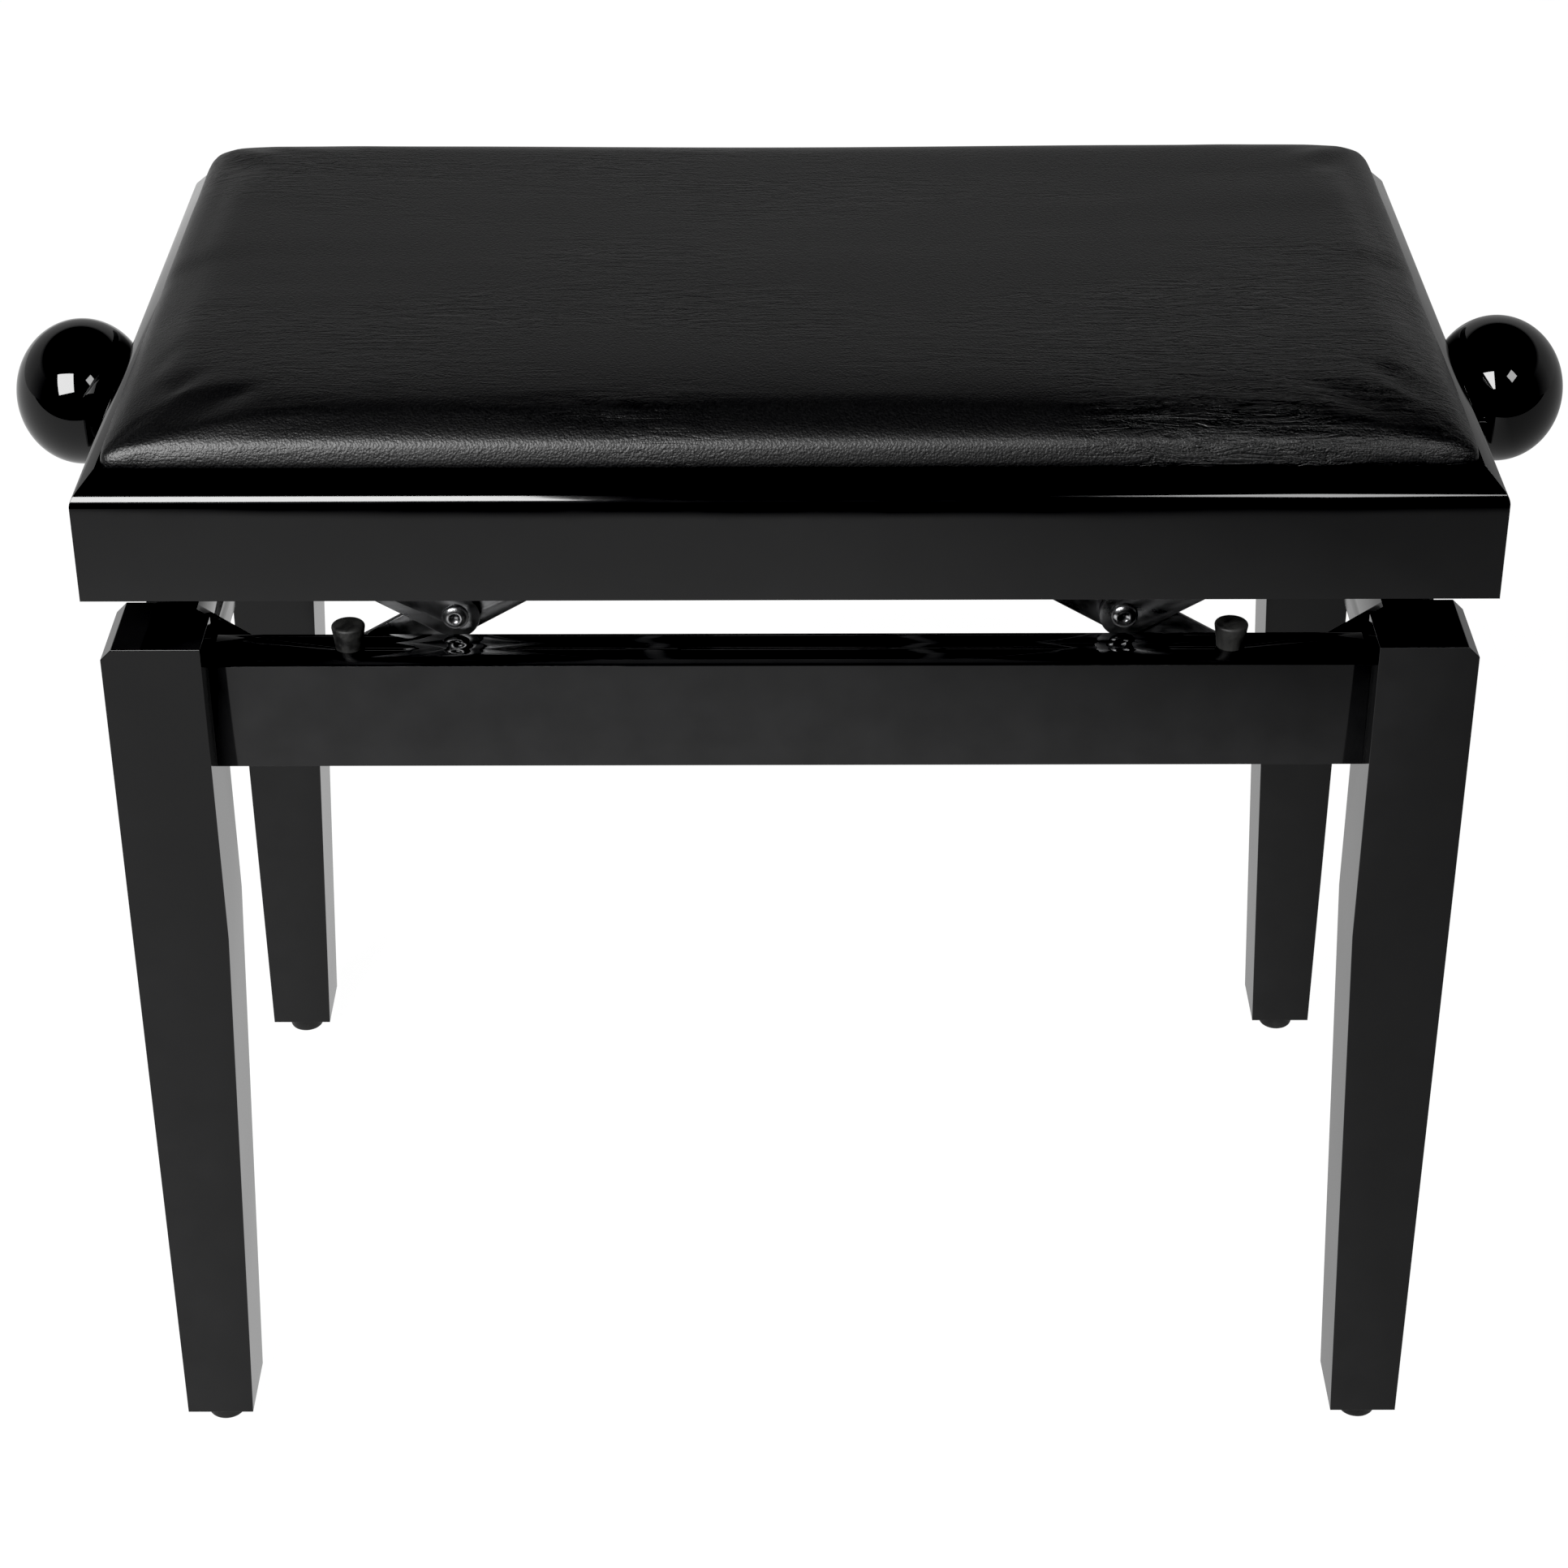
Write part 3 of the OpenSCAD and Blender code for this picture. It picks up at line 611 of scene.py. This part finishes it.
def pull_cover(obj):
    lowest, highest = TUCK_Z + 1 * MM, pad_high[2]
    for vertex in obj.data.vertices:
        x, y, z = vertex.co
        if z < lowest:
            continue
        share = min(1.0, (z - lowest) / (highest - lowest))
        across, depth = x / HALF_X, y / HALF_Y
        # Front corners: the cover is drawn down the diagonal into a short pleat
        corner = Vector((HALF_X - abs(x), HALF_Y + y, 0))
        near = hill(corner.length, CORNER_REACH)
        pleat = hill(corner.x - corner.y, PLEAT_WIDTH) * hill(corner.length, PLEAT_REACH)
        # Long shallow pulls run lengthways, strongest near the ends and along the front roll
        ends = min(1.0, max(0.0, abs(across) - 0.3) * 1.5)
        wave = noise.noise(Vector((x * 7, y * 38, 3.0))) * ends
        ripple = noise.noise(Vector((x * 26, y * 90, 9.0))) * hill(depth + 0.88, 0.09)
        sag = SAG * hill(across, 0.6) * max(0.0, depth)
        drop = sag + CORNER_DROP * near + PLEAT_DEPTH * pleat - PULL * wave - RIPPLE * ripple
        vertex.co.z -= share * drop * MM


pull_cover(cushion)
cushion.data.shade_smooth()
dress(cushion, leather, "seat", "cushion")
top = max(vertex.co.z for vertex in cushion.data.vertices)
print("cushion top now", round(top * 1000, 1), "mm,", len(cushion.data.polygons), "faces")

# %% [markdown]
# ## Turned pieces
#
# Knobs, bumpers and glides are all solids of revolution. One helper turns a profile, given as
# (distance along the axis, radius) pairs that start and end on the axis, so its poles are closed.


# %% The lathe
def turned(name, profile, base, axis, steps):
    """Turns a profile round an axis that starts at base. Its first and last radius are zero."""
    axis = Vector(axis).normalized()
    side = axis.orthogonal().normalized()
    up = axis.cross(side)
    shape = bmesh.new()
    rings = []
    for along, radius in profile:
        if radius == 0:
            rings.append([shape.verts.new(Vector(base) + axis * along)])
            continue
        centre = Vector(base) + axis * along
        angles = [2 * math.pi * i / steps for i in range(steps)]
        spokes = [side * math.cos(a) + up * math.sin(a) for a in angles]
        rings.append([shape.verts.new(centre + spoke * radius) for spoke in spokes])
    for low, high in zip(rings, rings[1:]):
        for i in range(steps):
            turn_round = ((low, i), (low, i + 1), (high, i + 1), (high, i))
            corners = [ring[place % len(ring)] for ring, place in turn_round]
            shape.faces.new(list(dict.fromkeys(corners)))
    bmesh.ops.recalc_face_normals(shape, faces=shape.faces)
    mesh = bpy.data.meshes.new(name)
    shape.to_mesh(mesh)
    shape.free()
    shade(mesh, 40)
    return link(bpy.data.objects.new(name, mesh))


def arc(centre_along, centre_radius, radius, start, end, steps=6):
    """Points of an arc in a profile, with angles in degrees from the axis."""
    angles = [math.radians(start + (end - start) * i / steps) for i in range(steps + 1)]
    return [(centre_along + radius * math.cos(a), centre_radius + radius * math.sin(a)) for a in angles]


# %% Knobs
KNOB_HALF, KNOB_EASE = 28.5 * MM, 0.9 * MM
for side_name, sign in (("left", -1), ("right", 1)):
    low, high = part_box("knob_" + side_name)
    radius = (high[2] - low[2]) / 2
    tip, flat = (low[0], high[0]) if sign < 0 else (high[0], low[0])
    centre = tip - sign * KNOB_HALF
    back = abs(centre - flat)
    start = math.degrees(math.acos(back / KNOB_HALF))
    oval = [
        (KNOB_HALF * -math.cos(math.radians(a)), radius * math.sin(math.radians(a)))
        for a in [start + (180 - start) * i / 48 for i in range(49)]
    ]
    face_radius = oval[0][1]
    profile = [(-back, 0.0), (-back, face_radius - KNOB_EASE), (-back + 0.2 * MM, face_radius - 0.2 * MM)]
    profile += oval[1:-1] + [(KNOB_HALF, 0.0)]
    centre_point = (centre, 0.0, (low[2] + high[2]) / 2)
    knob = turned("turned_knob_" + side_name, profile, centre_point, (sign, 0, 0), 128)
    dress(knob, knob_lacquer, "turning_spindle", "knob_" + side_name)
print("knobs turned")


# %% Bumpers and glides
def islands(node):
    """The lowest and highest corners of each separate solid of a CAD node."""
    shape = bmesh.new()
    shape.from_mesh(nodes[node].data)
    bmesh.ops.remove_doubles(shape, verts=shape.verts, dist=1e-6)
    left, boxes = set(shape.verts), []
    while left:
        stack, members = [left.pop()], []
        while stack:
            vertex = stack.pop()
            members.append(vertex.co.copy())
            for edge in vertex.link_edges:
                other = edge.other_vert(vertex)
                if other in left:
                    left.remove(other)
                    stack.append(other)
        low = [min(co[i] for co in members) for i in range(3)]
        high = [max(co[i] for co in members) for i in range(3)]
        boxes.append((low, high))
    shape.free()
    return sorted(boxes)


def joined(name, pieces):
    """Several meshes at the origin become one piece."""
    shape = bmesh.new()
    for piece in pieces:
        shape.from_mesh(piece.data)
        bpy.data.objects.remove(piece)
    mesh = bpy.data.meshes.new(name)
    shape.to_mesh(mesh)
    shape.free()
    shade(mesh, 40)
    return link(bpy.data.objects.new(name, mesh))


def middle(box):
    low, high = box
    return Vector([(low[i] + high[i]) / 2 for i in range(3)])


apron_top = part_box("apron_front")[1][2]
STEM_DEPTH, STEM_R, BUMPER_EDGE, GLIDE_EDGE = 6 * MM, 2.4 * MM, 1.2 * MM, 1.8 * MM
bumpers = []
for box in islands("rest_bumpers"):
    place, height = middle(box), box[1][2] - apron_top
    radius = (box[1][0] - box[0][0]) / 2
    profile = [(-STEM_DEPTH, 0.0), (-STEM_DEPTH, STEM_R), (0.0, STEM_R), (0.0, radius - 0.5 * MM)]
    profile += [(height * 0.5, radius)]
    profile += arc(height - BUMPER_EDGE, radius - 0.6 * MM, BUMPER_EDGE, 90, 0, 5)
    profile += [(height - 0.25 * MM, radius * 0.45), (height - 0.35 * MM, 0.0)]
    bumpers.append(turned("bumper", profile, (place.x, place.y, apron_top), (0, 0, 1), 48))
bumpers = joined("rubber_bumpers", bumpers)
dress(bumpers, rubber, "leg_frame", "rest_bumpers")

glides = []
foot_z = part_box("leg_front_left")[0][2]
for box in islands("leg_glides"):
    place = middle(box)
    radius = (box[1][0] - box[0][0]) / 2
    profile = [(0.0, 0.0)] + arc(GLIDE_EDGE, radius - GLIDE_EDGE, GLIDE_EDGE, 180, 90)
    profile += [(foot_z, radius), (foot_z, 0.0)]
    glides.append(turned("glide", profile, (place.x, place.y, 0.0), (0, 0, 1), 48))
glides = joined("floor_glides", glides)
dress(glides, rubber, "leg_frame", "leg_glides")
print("bumpers and glides turned")

# %% [markdown]
# ## The spindle and its two threads
#
# Half of the spindle has a left-hand thread and the other half a right-hand one, so that one turn
# moves the two nuts apart or together. A thread is a ridge that follows a helix, which is just
# what Geometry Nodes are good at: a spiral curve, a small diamond swept along it, and named inputs
# for the pitch, the radius and the hand. The result is baked to a plain mesh, because an instance
# would be lost in the export.


# %% Geometry Nodes helpers
def node_tree(name, inputs):
    """A Geometry Nodes tree with inputs {label: (socket type, default)}; returns their identifiers."""
    tree = bpy.data.node_groups.new(name, "GeometryNodeTree")
    tree.interface.new_socket("Geometry", in_out="INPUT", socket_type="NodeSocketGeometry")
    tree.interface.new_socket("Geometry", in_out="OUTPUT", socket_type="NodeSocketGeometry")
    keys = {}
    for label, (kind, default) in inputs.items():
        socket = tree.interface.new_socket(label, in_out="INPUT", socket_type=kind)
        if default is not None:
            socket.default_value = default
        keys[label] = socket.identifier
    return tree, keys, tree.nodes.new("NodeGroupInput"), tree.nodes.new("NodeGroupOutput")


def finish_tree(tree, g_in, g_out, geometry):
    """Every tree ends the same way: real geometry, with its finish."""
    real = add(tree, "GeometryNodeRealizeInstances")
    paint = add(tree, "GeometryNodeSetMaterial")
    join(tree, geometry, real.inputs["Geometry"])
    join(tree, real.outputs["Geometry"], paint.inputs["Geometry"])
    join(tree, g_in.outputs["Finish"], paint.inputs["Material"])
    join(tree, paint.outputs["Geometry"], g_out.inputs["Geometry"])


def grown(name, mesh, tree, keys, **values):
    """Runs a tree on a mesh and keeps its result as a plain mesh."""
    obj = link(bpy.data.objects.new(name, mesh))
    grow = obj.modifiers.new("grow", "NODES")
    grow.node_group = tree
    for label, value in values.items():
        grow[keys[label.replace("_", " ")]] = value
    return baked(obj)


# %% The thread
thread_tree, thread_keys, g_in, g_out = node_tree(
    "screw_thread",
    {
        "Turns": ("NodeSocketFloat", 10.0),
        "Length": ("NodeSocketFloat", 0.03),
        "Path Radius": ("NodeSocketFloat", 0.005),
        "Ridge": ("NodeSocketFloat", 0.0007),
        "Left Hand": ("NodeSocketBool", False),
        "Start": ("NodeSocketVector", (0.0, 0.0, 0.0)),
        "Turned": ("NodeSocketVector", (0.0, math.radians(90), 0.0)),
        "Finish": ("NodeSocketMaterial", None),
    },
)
spiral = add(thread_tree, "GeometryNodeCurveSpiral", Resolution=24)
upright = add(thread_tree, "GeometryNodeSetCurveNormal", mode="Z_UP")
ridge_section = add(thread_tree, "GeometryNodeCurvePrimitiveCircle", Resolution=4)
sweep = add(thread_tree, "GeometryNodeCurveToMesh", Fill_Caps=True)
lay = add(thread_tree, "GeometryNodeTransform")
for label, target in (("Turns", "Rotations"), ("Length", "Height"), ("Left Hand", "Reverse")):
    join(thread_tree, g_in.outputs[label], spiral.inputs[target])
join(thread_tree, g_in.outputs["Path Radius"], spiral.inputs["Start Radius"])
join(thread_tree, g_in.outputs["Path Radius"], spiral.inputs["End Radius"])
join(thread_tree, g_in.outputs["Ridge"], ridge_section.inputs["Radius"])
join(thread_tree, spiral.outputs["Curve"], upright.inputs["Curve"])
join(thread_tree, upright.outputs["Curve"], sweep.inputs["Curve"])
join(thread_tree, ridge_section.outputs["Curve"], sweep.inputs["Profile Curve"])
join(thread_tree, sweep.outputs["Mesh"], lay.inputs["Geometry"])
join(thread_tree, g_in.outputs["Start"], lay.inputs["Translation"])
join(thread_tree, g_in.outputs["Turned"], lay.inputs["Rotation"])
finish_tree(thread_tree, g_in, g_out, lay.outputs["Geometry"])
print("tree:", thread_tree.name, len(thread_tree.nodes), "nodes")

# %% Cut both ends
spindle_low, spindle_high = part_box("spindle")
shaft_r = (spindle_high[2] - spindle_low[2]) / 2
shaft_z = (spindle_high[2] + spindle_low[2]) / 2
THREAD_FROM, THREAD_TO, PITCH = 34 * MM, 156 * MM, 3 * MM
ROOT_R = shaft_r - 0.9 * MM
RIDGE = 0.72 * MM
end_x = spindle_high[0]
half_profile = [(THREAD_FROM, shaft_r), (THREAD_FROM, ROOT_R), (THREAD_TO, ROOT_R), (THREAD_TO, shaft_r)]
half_profile += [(end_x - 0.6 * MM, shaft_r), (end_x, shaft_r - 0.6 * MM)]
profile = [(-end_x, 0.0)] + [(-a, r) for a, r in reversed(half_profile)] + half_profile + [(end_x, 0.0)]
shaft = turned("spindle_shaft", profile, (0, 0, shaft_z), (1, 0, 0), 48)
dress(shaft, pin_steel, "turning_spindle", "spindle")
for side_name, sign in (("left", -1), ("right", 1)):
    thread = grown(
        "thread_" + side_name,
        bpy.data.meshes.new("thread"),
        thread_tree,
        thread_keys,
        Turns=(THREAD_TO - THREAD_FROM) / PITCH,
        Length=THREAD_TO - THREAD_FROM,
        Path_Radius=shaft_r - 0.02 * MM - RIDGE,
        Ridge=RIDGE,
        Left_Hand=sign < 0,
        Start=(sign * THREAD_FROM, 0.0, shaft_z),
        Turned=(0.0, sign * math.radians(90), 0.0),
        Finish=pin_steel,
    )
    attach(thread, "turning_spindle")
    print("thread", side_name, len(thread.data.polygons), "faces")

# %% [markdown]
# ## Screws with a cross in their heads
#
# One screw is modelled with care and placed wherever a rail is screwed down. Each point carries the
# way its screw aims, so that one tree serves the rails on the aprons and the rails under the seat.
# The screws of the corner blocks and the seat board are out of sight and keep their plain shape.


# %% One screw
def cross_bar(turn, head_r, head_h):
    """One bar of the cross, as a cutter that stands in the head."""
    bar = bmesh.new()
    bmesh.ops.create_cube(bar, size=1.0)
    bmesh.ops.scale(bar, vec=(head_r * 1.15, 0.8 * MM, head_h), verts=bar.verts)
    bmesh.ops.rotate(bar, matrix=Matrix.Rotation(math.radians(turn), 3, "Z"), verts=bar.verts)
    bmesh.ops.translate(bar, vec=(0, 0, -head_h), verts=bar.verts)
    mesh = bpy.data.meshes.new("cross")
    bar.to_mesh(mesh)
    bar.free()
    return link(bpy.data.objects.new("cross", mesh))


def cross_screw(head_r, head_h, shank_r, length):
    profile = [(-head_h, 0.0), (-head_h, head_r * 0.45), (-head_h * 0.86, head_r * 0.76)]
    profile += [(-head_h * 0.5, head_r * 0.96), (0.0, head_r)]
    profile += [(0.0, shank_r), (length - 1.5 * MM, shank_r), (length, 0.0)]
    screw = turned("one_screw", profile, (0, 0, 0), (0, 0, 1), 24)
    for turn in (0, 90):
        cutter = cross_bar(turn, head_r, head_h)
        cut = screw.modifiers.new("cross", "BOOLEAN")
        cut.object = cutter
        cut.operation = "DIFFERENCE"
        cut.solver = "EXACT"
        baked(screw)
        bpy.data.objects.remove(cutter)
    shade(screw.data, 35)
    return screw


place_tree, place_keys, g_in, g_out = node_tree(
    "placed_screws", {"Screw": ("NodeSocketObject", None), "Finish": ("NodeSocketMaterial", None)}
)
source = add(place_tree, "GeometryNodeObjectInfo")
aim = add(place_tree, "GeometryNodeInputNamedAttribute", data_type="FLOAT_VECTOR", Name="aim")
align = add(place_tree, "FunctionNodeAlignRotationToVector", axis="Z")
spin = add(place_tree, "FunctionNodeRandomValue", data_type="FLOAT", Seed=7)
spin.inputs[3].default_value = math.pi
twist = add(place_tree, "ShaderNodeCombineXYZ")
turn_each = add(place_tree, "FunctionNodeRotateRotation", rotation_space="LOCAL")
put = add(place_tree, "GeometryNodeInstanceOnPoints")
join(place_tree, g_in.outputs["Screw"], source.inputs["Object"])
join(place_tree, g_in.outputs["Geometry"], put.inputs["Points"])
join(place_tree, source.outputs["Geometry"], put.inputs["Instance"])
join(place_tree, aim.outputs["Attribute"], align.inputs["Vector"])
join(place_tree, spin.outputs[1], twist.inputs["Z"])
join(place_tree, align.outputs["Rotation"], turn_each.inputs["Rotation"])
join(place_tree, twist.outputs[0], turn_each.inputs["Rotate By"])
join(place_tree, turn_each.outputs["Rotation"], put.inputs["Rotation"])
finish_tree(place_tree, g_in, g_out, put.outputs["Instances"])
print("tree:", place_tree.name, len(place_tree.nodes), "nodes")


# %% Put them in
def aimed_points(places):
    """A mesh of points only, each with the way its screw aims."""
    mesh = bpy.data.meshes.new("screw_places")
    mesh.from_pydata([place for place, _ in places], [], [])
    aims = mesh.attributes.new("aim", "FLOAT_VECTOR", "POINT")
    for item, (_, way) in zip(aims.data, places):
        item.vector = way
    return mesh


SCREW_HEAD_R, SCREW_HEAD_H, SCREW_R = 3.6 * MM, 2.4 * MM, 1.9 * MM
for node, body, axis, length in (
    ("base_rail_screws", "leg_frame", 1, 12 * MM),
    ("seat_rail_screws", "seat", 2, 8 * MM),
):
    places = []
    for low, high in islands(node):
        place = middle((low, high))
        way = Vector((0, 0, 0))
        way[axis] = 1.0 if axis == 2 or place.y > 0 else -1.0
        head_end = low[axis] if way[axis] > 0 else high[axis]
        place[axis] = head_end + way[axis] * SCREW_HEAD_H
        places.append((place, way))
    one = cross_screw(SCREW_HEAD_R, SCREW_HEAD_H, SCREW_R, length)
    points = aimed_points(places)
    placed = grown(node + "_crossed", points, place_tree, place_keys, Screw=one, Finish=pin_steel)
    bpy.data.objects.remove(one)
    if "aim" in placed.data.attributes:
        placed.data.attributes.remove(placed.data.attributes["aim"])
    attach(placed, body)
    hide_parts(node)
    print(node, len(places), "screws")

# %% [markdown]
# ## Rods, pins, nuts and the rest
#
# A riveted end isn't flat: the hammer leaves a low dome with a dimple where the punch stood. The
# two rods that tie the arms are turned with such ends. The other metal pieces keep their shape,
# and only their edges are broken.

# %% Rods with riveted ends
EASE, RIVET_R, DIMPLE = 0.4 * MM, 4 * MM, 1.1 * MM
# The head's outline in mm: distance out from the arm, and radius
RIVET_HEAD = [(0, 5.5), (0.5, 5.4), (1.3, 4.6), (1.8, 3.4), (2.0, 2.6), (1.7, 1.9), (1.2, 1.2)]
for side_name in ("left", "right"):
    node = "mid_rod_" + side_name
    low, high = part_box(node)
    rod_r, half = (high[2] - low[2]) / 2, high[1]
    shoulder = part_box("long_arm_back_" + side_name)[0][1] - 0.1 * MM
    head = half - 2.0 * MM
    half_profile = [(shoulder - EASE, rod_r), (shoulder, rod_r - EASE), (shoulder, RIVET_R), (head, RIVET_R)]
    half_profile += [(head + along * MM, radius * MM) for along, radius in RIVET_HEAD]
    profile = [(-a, r) for a, r in reversed(half_profile)] + half_profile
    dimple = head + DIMPLE
    profile = [(-dimple, 0.0)] + profile + [(dimple, 0.0)]
    place = middle((low, high))
    rod = turned("riveted_rod_" + side_name, profile, (place.x, 0, place.z), (0, 1, 0), 48)
    dress(rod, pin_steel, body_of[node], node)
    print("rod", side_name, "ends", round(dimple * 1000, 1), "mm from the middle")

# %% The other metal pieces
BRIGHT = ["lower_pivot_pins", "upper_pivot_pins", "nut_clips_left", "nut_clips_right"]
BRIGHT += ["leg_bolts", "collar_screws"]
GREY = ["nut_bar_left", "nut_bar_right", "spindle_collar_left", "spindle_collar_right"]
DARK = ["spindle_bush_left", "spindle_bush_right"]
for group, finish, slot_name, width in (
    (BRIGHT, pin_steel, "bright_steel", 0.3 * MM),
    (GREY, arm_steel, "grey_steel", 0.6 * MM),
    (DARK, bush_metal, "bush_brass", 0.5 * MM),
):
    for node in group:
        piece = soften(merged_copy(node, node + "_finished"), width, 2)
        dress(piece, finish, body_of[node], node)
for node in [name for name in nodes if name.startswith("corner_block")]:
    piece = soften(merged_copy(node, node + "_painted"), 0.8 * MM, 2)
    dress(piece, lacquer, body_of[node], node)
for node, finish in (("block_screws", pin_steel), ("board_screws", pin_steel), ("seat_board", board_paint)):
    nodes[node].data.materials.clear()
    nodes[node].data.materials.append(finish)
print("metal and hidden pieces finished")

# %% [markdown]
# ## Stage and light
#
# Black lacquer is lit by what it reflects. A large soft light stands to the left of the camera and
# draws the bright line along the rim's shoulder and the square glint on each knob. A smaller one
# stands to the right. The room is pale low down behind the bench and dark overhead, which gives
# the leather its slow change from grey at the back to black at the front.
#
# The camera sees a plain white floor and a plain white room, but reflections see others. What the
# lacquer mirrors is a dimmer floor that fades towards the right, and ends in front of the bench.
# Its end is the dark line under the rim's bright shoulder.

# %% Floor
floor_mesh = bpy.data.meshes.new("floor")
REACH = 9.0
PAGE_WHITE = 1.1
# The mirrored floor: where it fades along X and where it ends along Y, in metres
FADE_FROM, FADE_TO, GLOW_LEFT, GLOW_RIGHT = 0.0, 0.5, 0.72, 0.36
END_FROM, END_TO = -1.15, -1.06
floor_corners = [(x * REACH, y * REACH, 0) for x, y in ((-1, -1), (1, -1), (1, 1), (-1, 1))]
floor_mesh.from_pydata(floor_corners, [], [(0, 1, 2, 3)])
floor = link(bpy.data.objects.new("floor", floor_mesh))
pale, tree, shader = new_finish("pale_floor", Base_Color=(0.8, 0.8, 0.8, 1), Roughness=0.9)
seen = add(tree, "ShaderNodeLightPath")
white = add(tree, "ShaderNodeEmission", Strength=PAGE_WHITE)
white.inputs["Color"].default_value = (1, 1, 1, 1)
place = add(tree, "ShaderNodeTexCoord")
parts = add(tree, "ShaderNodeSeparateXYZ")
join(tree, place.outputs["Object"], parts.inputs[0])
glow = math_node(
    tree,
    "MULTIPLY",
    ramp_value(tree, parts.outputs["X"], FADE_FROM, FADE_TO, GLOW_LEFT, GLOW_RIGHT),
    ramp_value(tree, parts.outputs["Y"], END_FROM, END_TO, 0.0, 1.0),
)
dim = add(tree, "ShaderNodeEmission")
join(tree, glow, dim.inputs["Strength"])
soft_shadow = add(tree, "ShaderNodeMixShader", Fac=0.9)
by_ray = add(tree, "ShaderNodeMixShader")
join(tree, shader.outputs[0], soft_shadow.inputs[1])
join(tree, white.outputs[0], soft_shadow.inputs[2])
join(tree, seen.outputs["Is Camera Ray"], by_ray.inputs["Fac"])
join(tree, dim.outputs[0], by_ray.inputs[1])
join(tree, soft_shadow.outputs[0], by_ray.inputs[2])
join(tree, by_ray.outputs[0], tree.nodes["Material Output"].inputs["Surface"])
floor_mesh.materials.append(pale)
print("floor", 2 * REACH, "m across")

# %% Room
# How pale the room is at three heights, as (sine of the angle above level, brightness)
LEVEL, KNEE, OVERHEAD = (0.0, 0.40), (0.45, 0.38), (0.56, 0.0)
IN_FRONT, BEHIND, PALE_IN_FRONT = -0.5, 0.2, 0.02
room = bpy.data.worlds.new("studio")
room.use_nodes = True
bpy.context.scene.world = room
tree = room.node_tree
backdrop = tree.nodes["Background"]
way = add(tree, "ShaderNodeTexCoord")
parts = add(tree, "ShaderNodeSeparateXYZ")
join(tree, way.outputs["Generated"], parts.inputs[0])
height = add(tree, "ShaderNodeValToRGB")
stops = height.color_ramp.elements
stops[0].position, stops[1].position = LEVEL[0], OVERHEAD[0]
stops[0].color = (LEVEL[1], LEVEL[1], LEVEL[1], 1)
stops[1].color = (OVERHEAD[1], OVERHEAD[1], OVERHEAD[1], 1)
stops.new(KNEE[0]).color = (KNEE[1], KNEE[1], KNEE[1], 1)
join(tree, parts.outputs["Z"], height.inputs["Fac"])
behind = ramp_value(tree, parts.outputs["Y"], IN_FRONT, BEHIND, PALE_IN_FRONT, 1.0)
dimmed = add(tree, "ShaderNodeVectorMath", operation="SCALE")
join(tree, height.outputs["Color"], dimmed.inputs[0])
join(tree, behind, dimmed.inputs["Scale"])
join(tree, dimmed.outputs[0], backdrop.inputs["Color"])
page = add(tree, "ShaderNodeBackground", Strength=PAGE_WHITE)
page.inputs["Color"].default_value = (1, 1, 1, 1)
seen = add(tree, "ShaderNodeLightPath")
by_ray = add(tree, "ShaderNodeMixShader")
join(tree, seen.outputs["Is Camera Ray"], by_ray.inputs["Fac"])
join(tree, backdrop.outputs[0], by_ray.inputs[1])
join(tree, page.outputs[0], by_ray.inputs[2])
join(tree, by_ray.outputs[0], tree.nodes["World Output"].inputs["Surface"])
print("room:", room.name)

# %% Lights
AIMED_AT = Vector((0, 0, 0.43))


def soft_light(name, place, width, power, roll):
    """A square light that faces the seat, turned about its own beam by the roll in degrees."""
    data = bpy.data.lights.new(name, "AREA")
    data.shape = "SQUARE"
    data.size = width
    data.energy = power
    light = link(bpy.data.objects.new(name, data))
    beam = AIMED_AT - Vector(place)
    turn = beam.to_track_quat("-Z", "Y").to_matrix().to_4x4()
    light.matrix_world = Matrix.Translation(place) @ turn @ Matrix.Rotation(math.radians(roll), 4, "Z")


soft_light("key_left", (-0.95, -1.67, 1.68), 1.18, 100.0, 21)
soft_light("fill_right", (0.88, -1.62, 1.96), 0.55, 11.0, 30)
print("stage set")
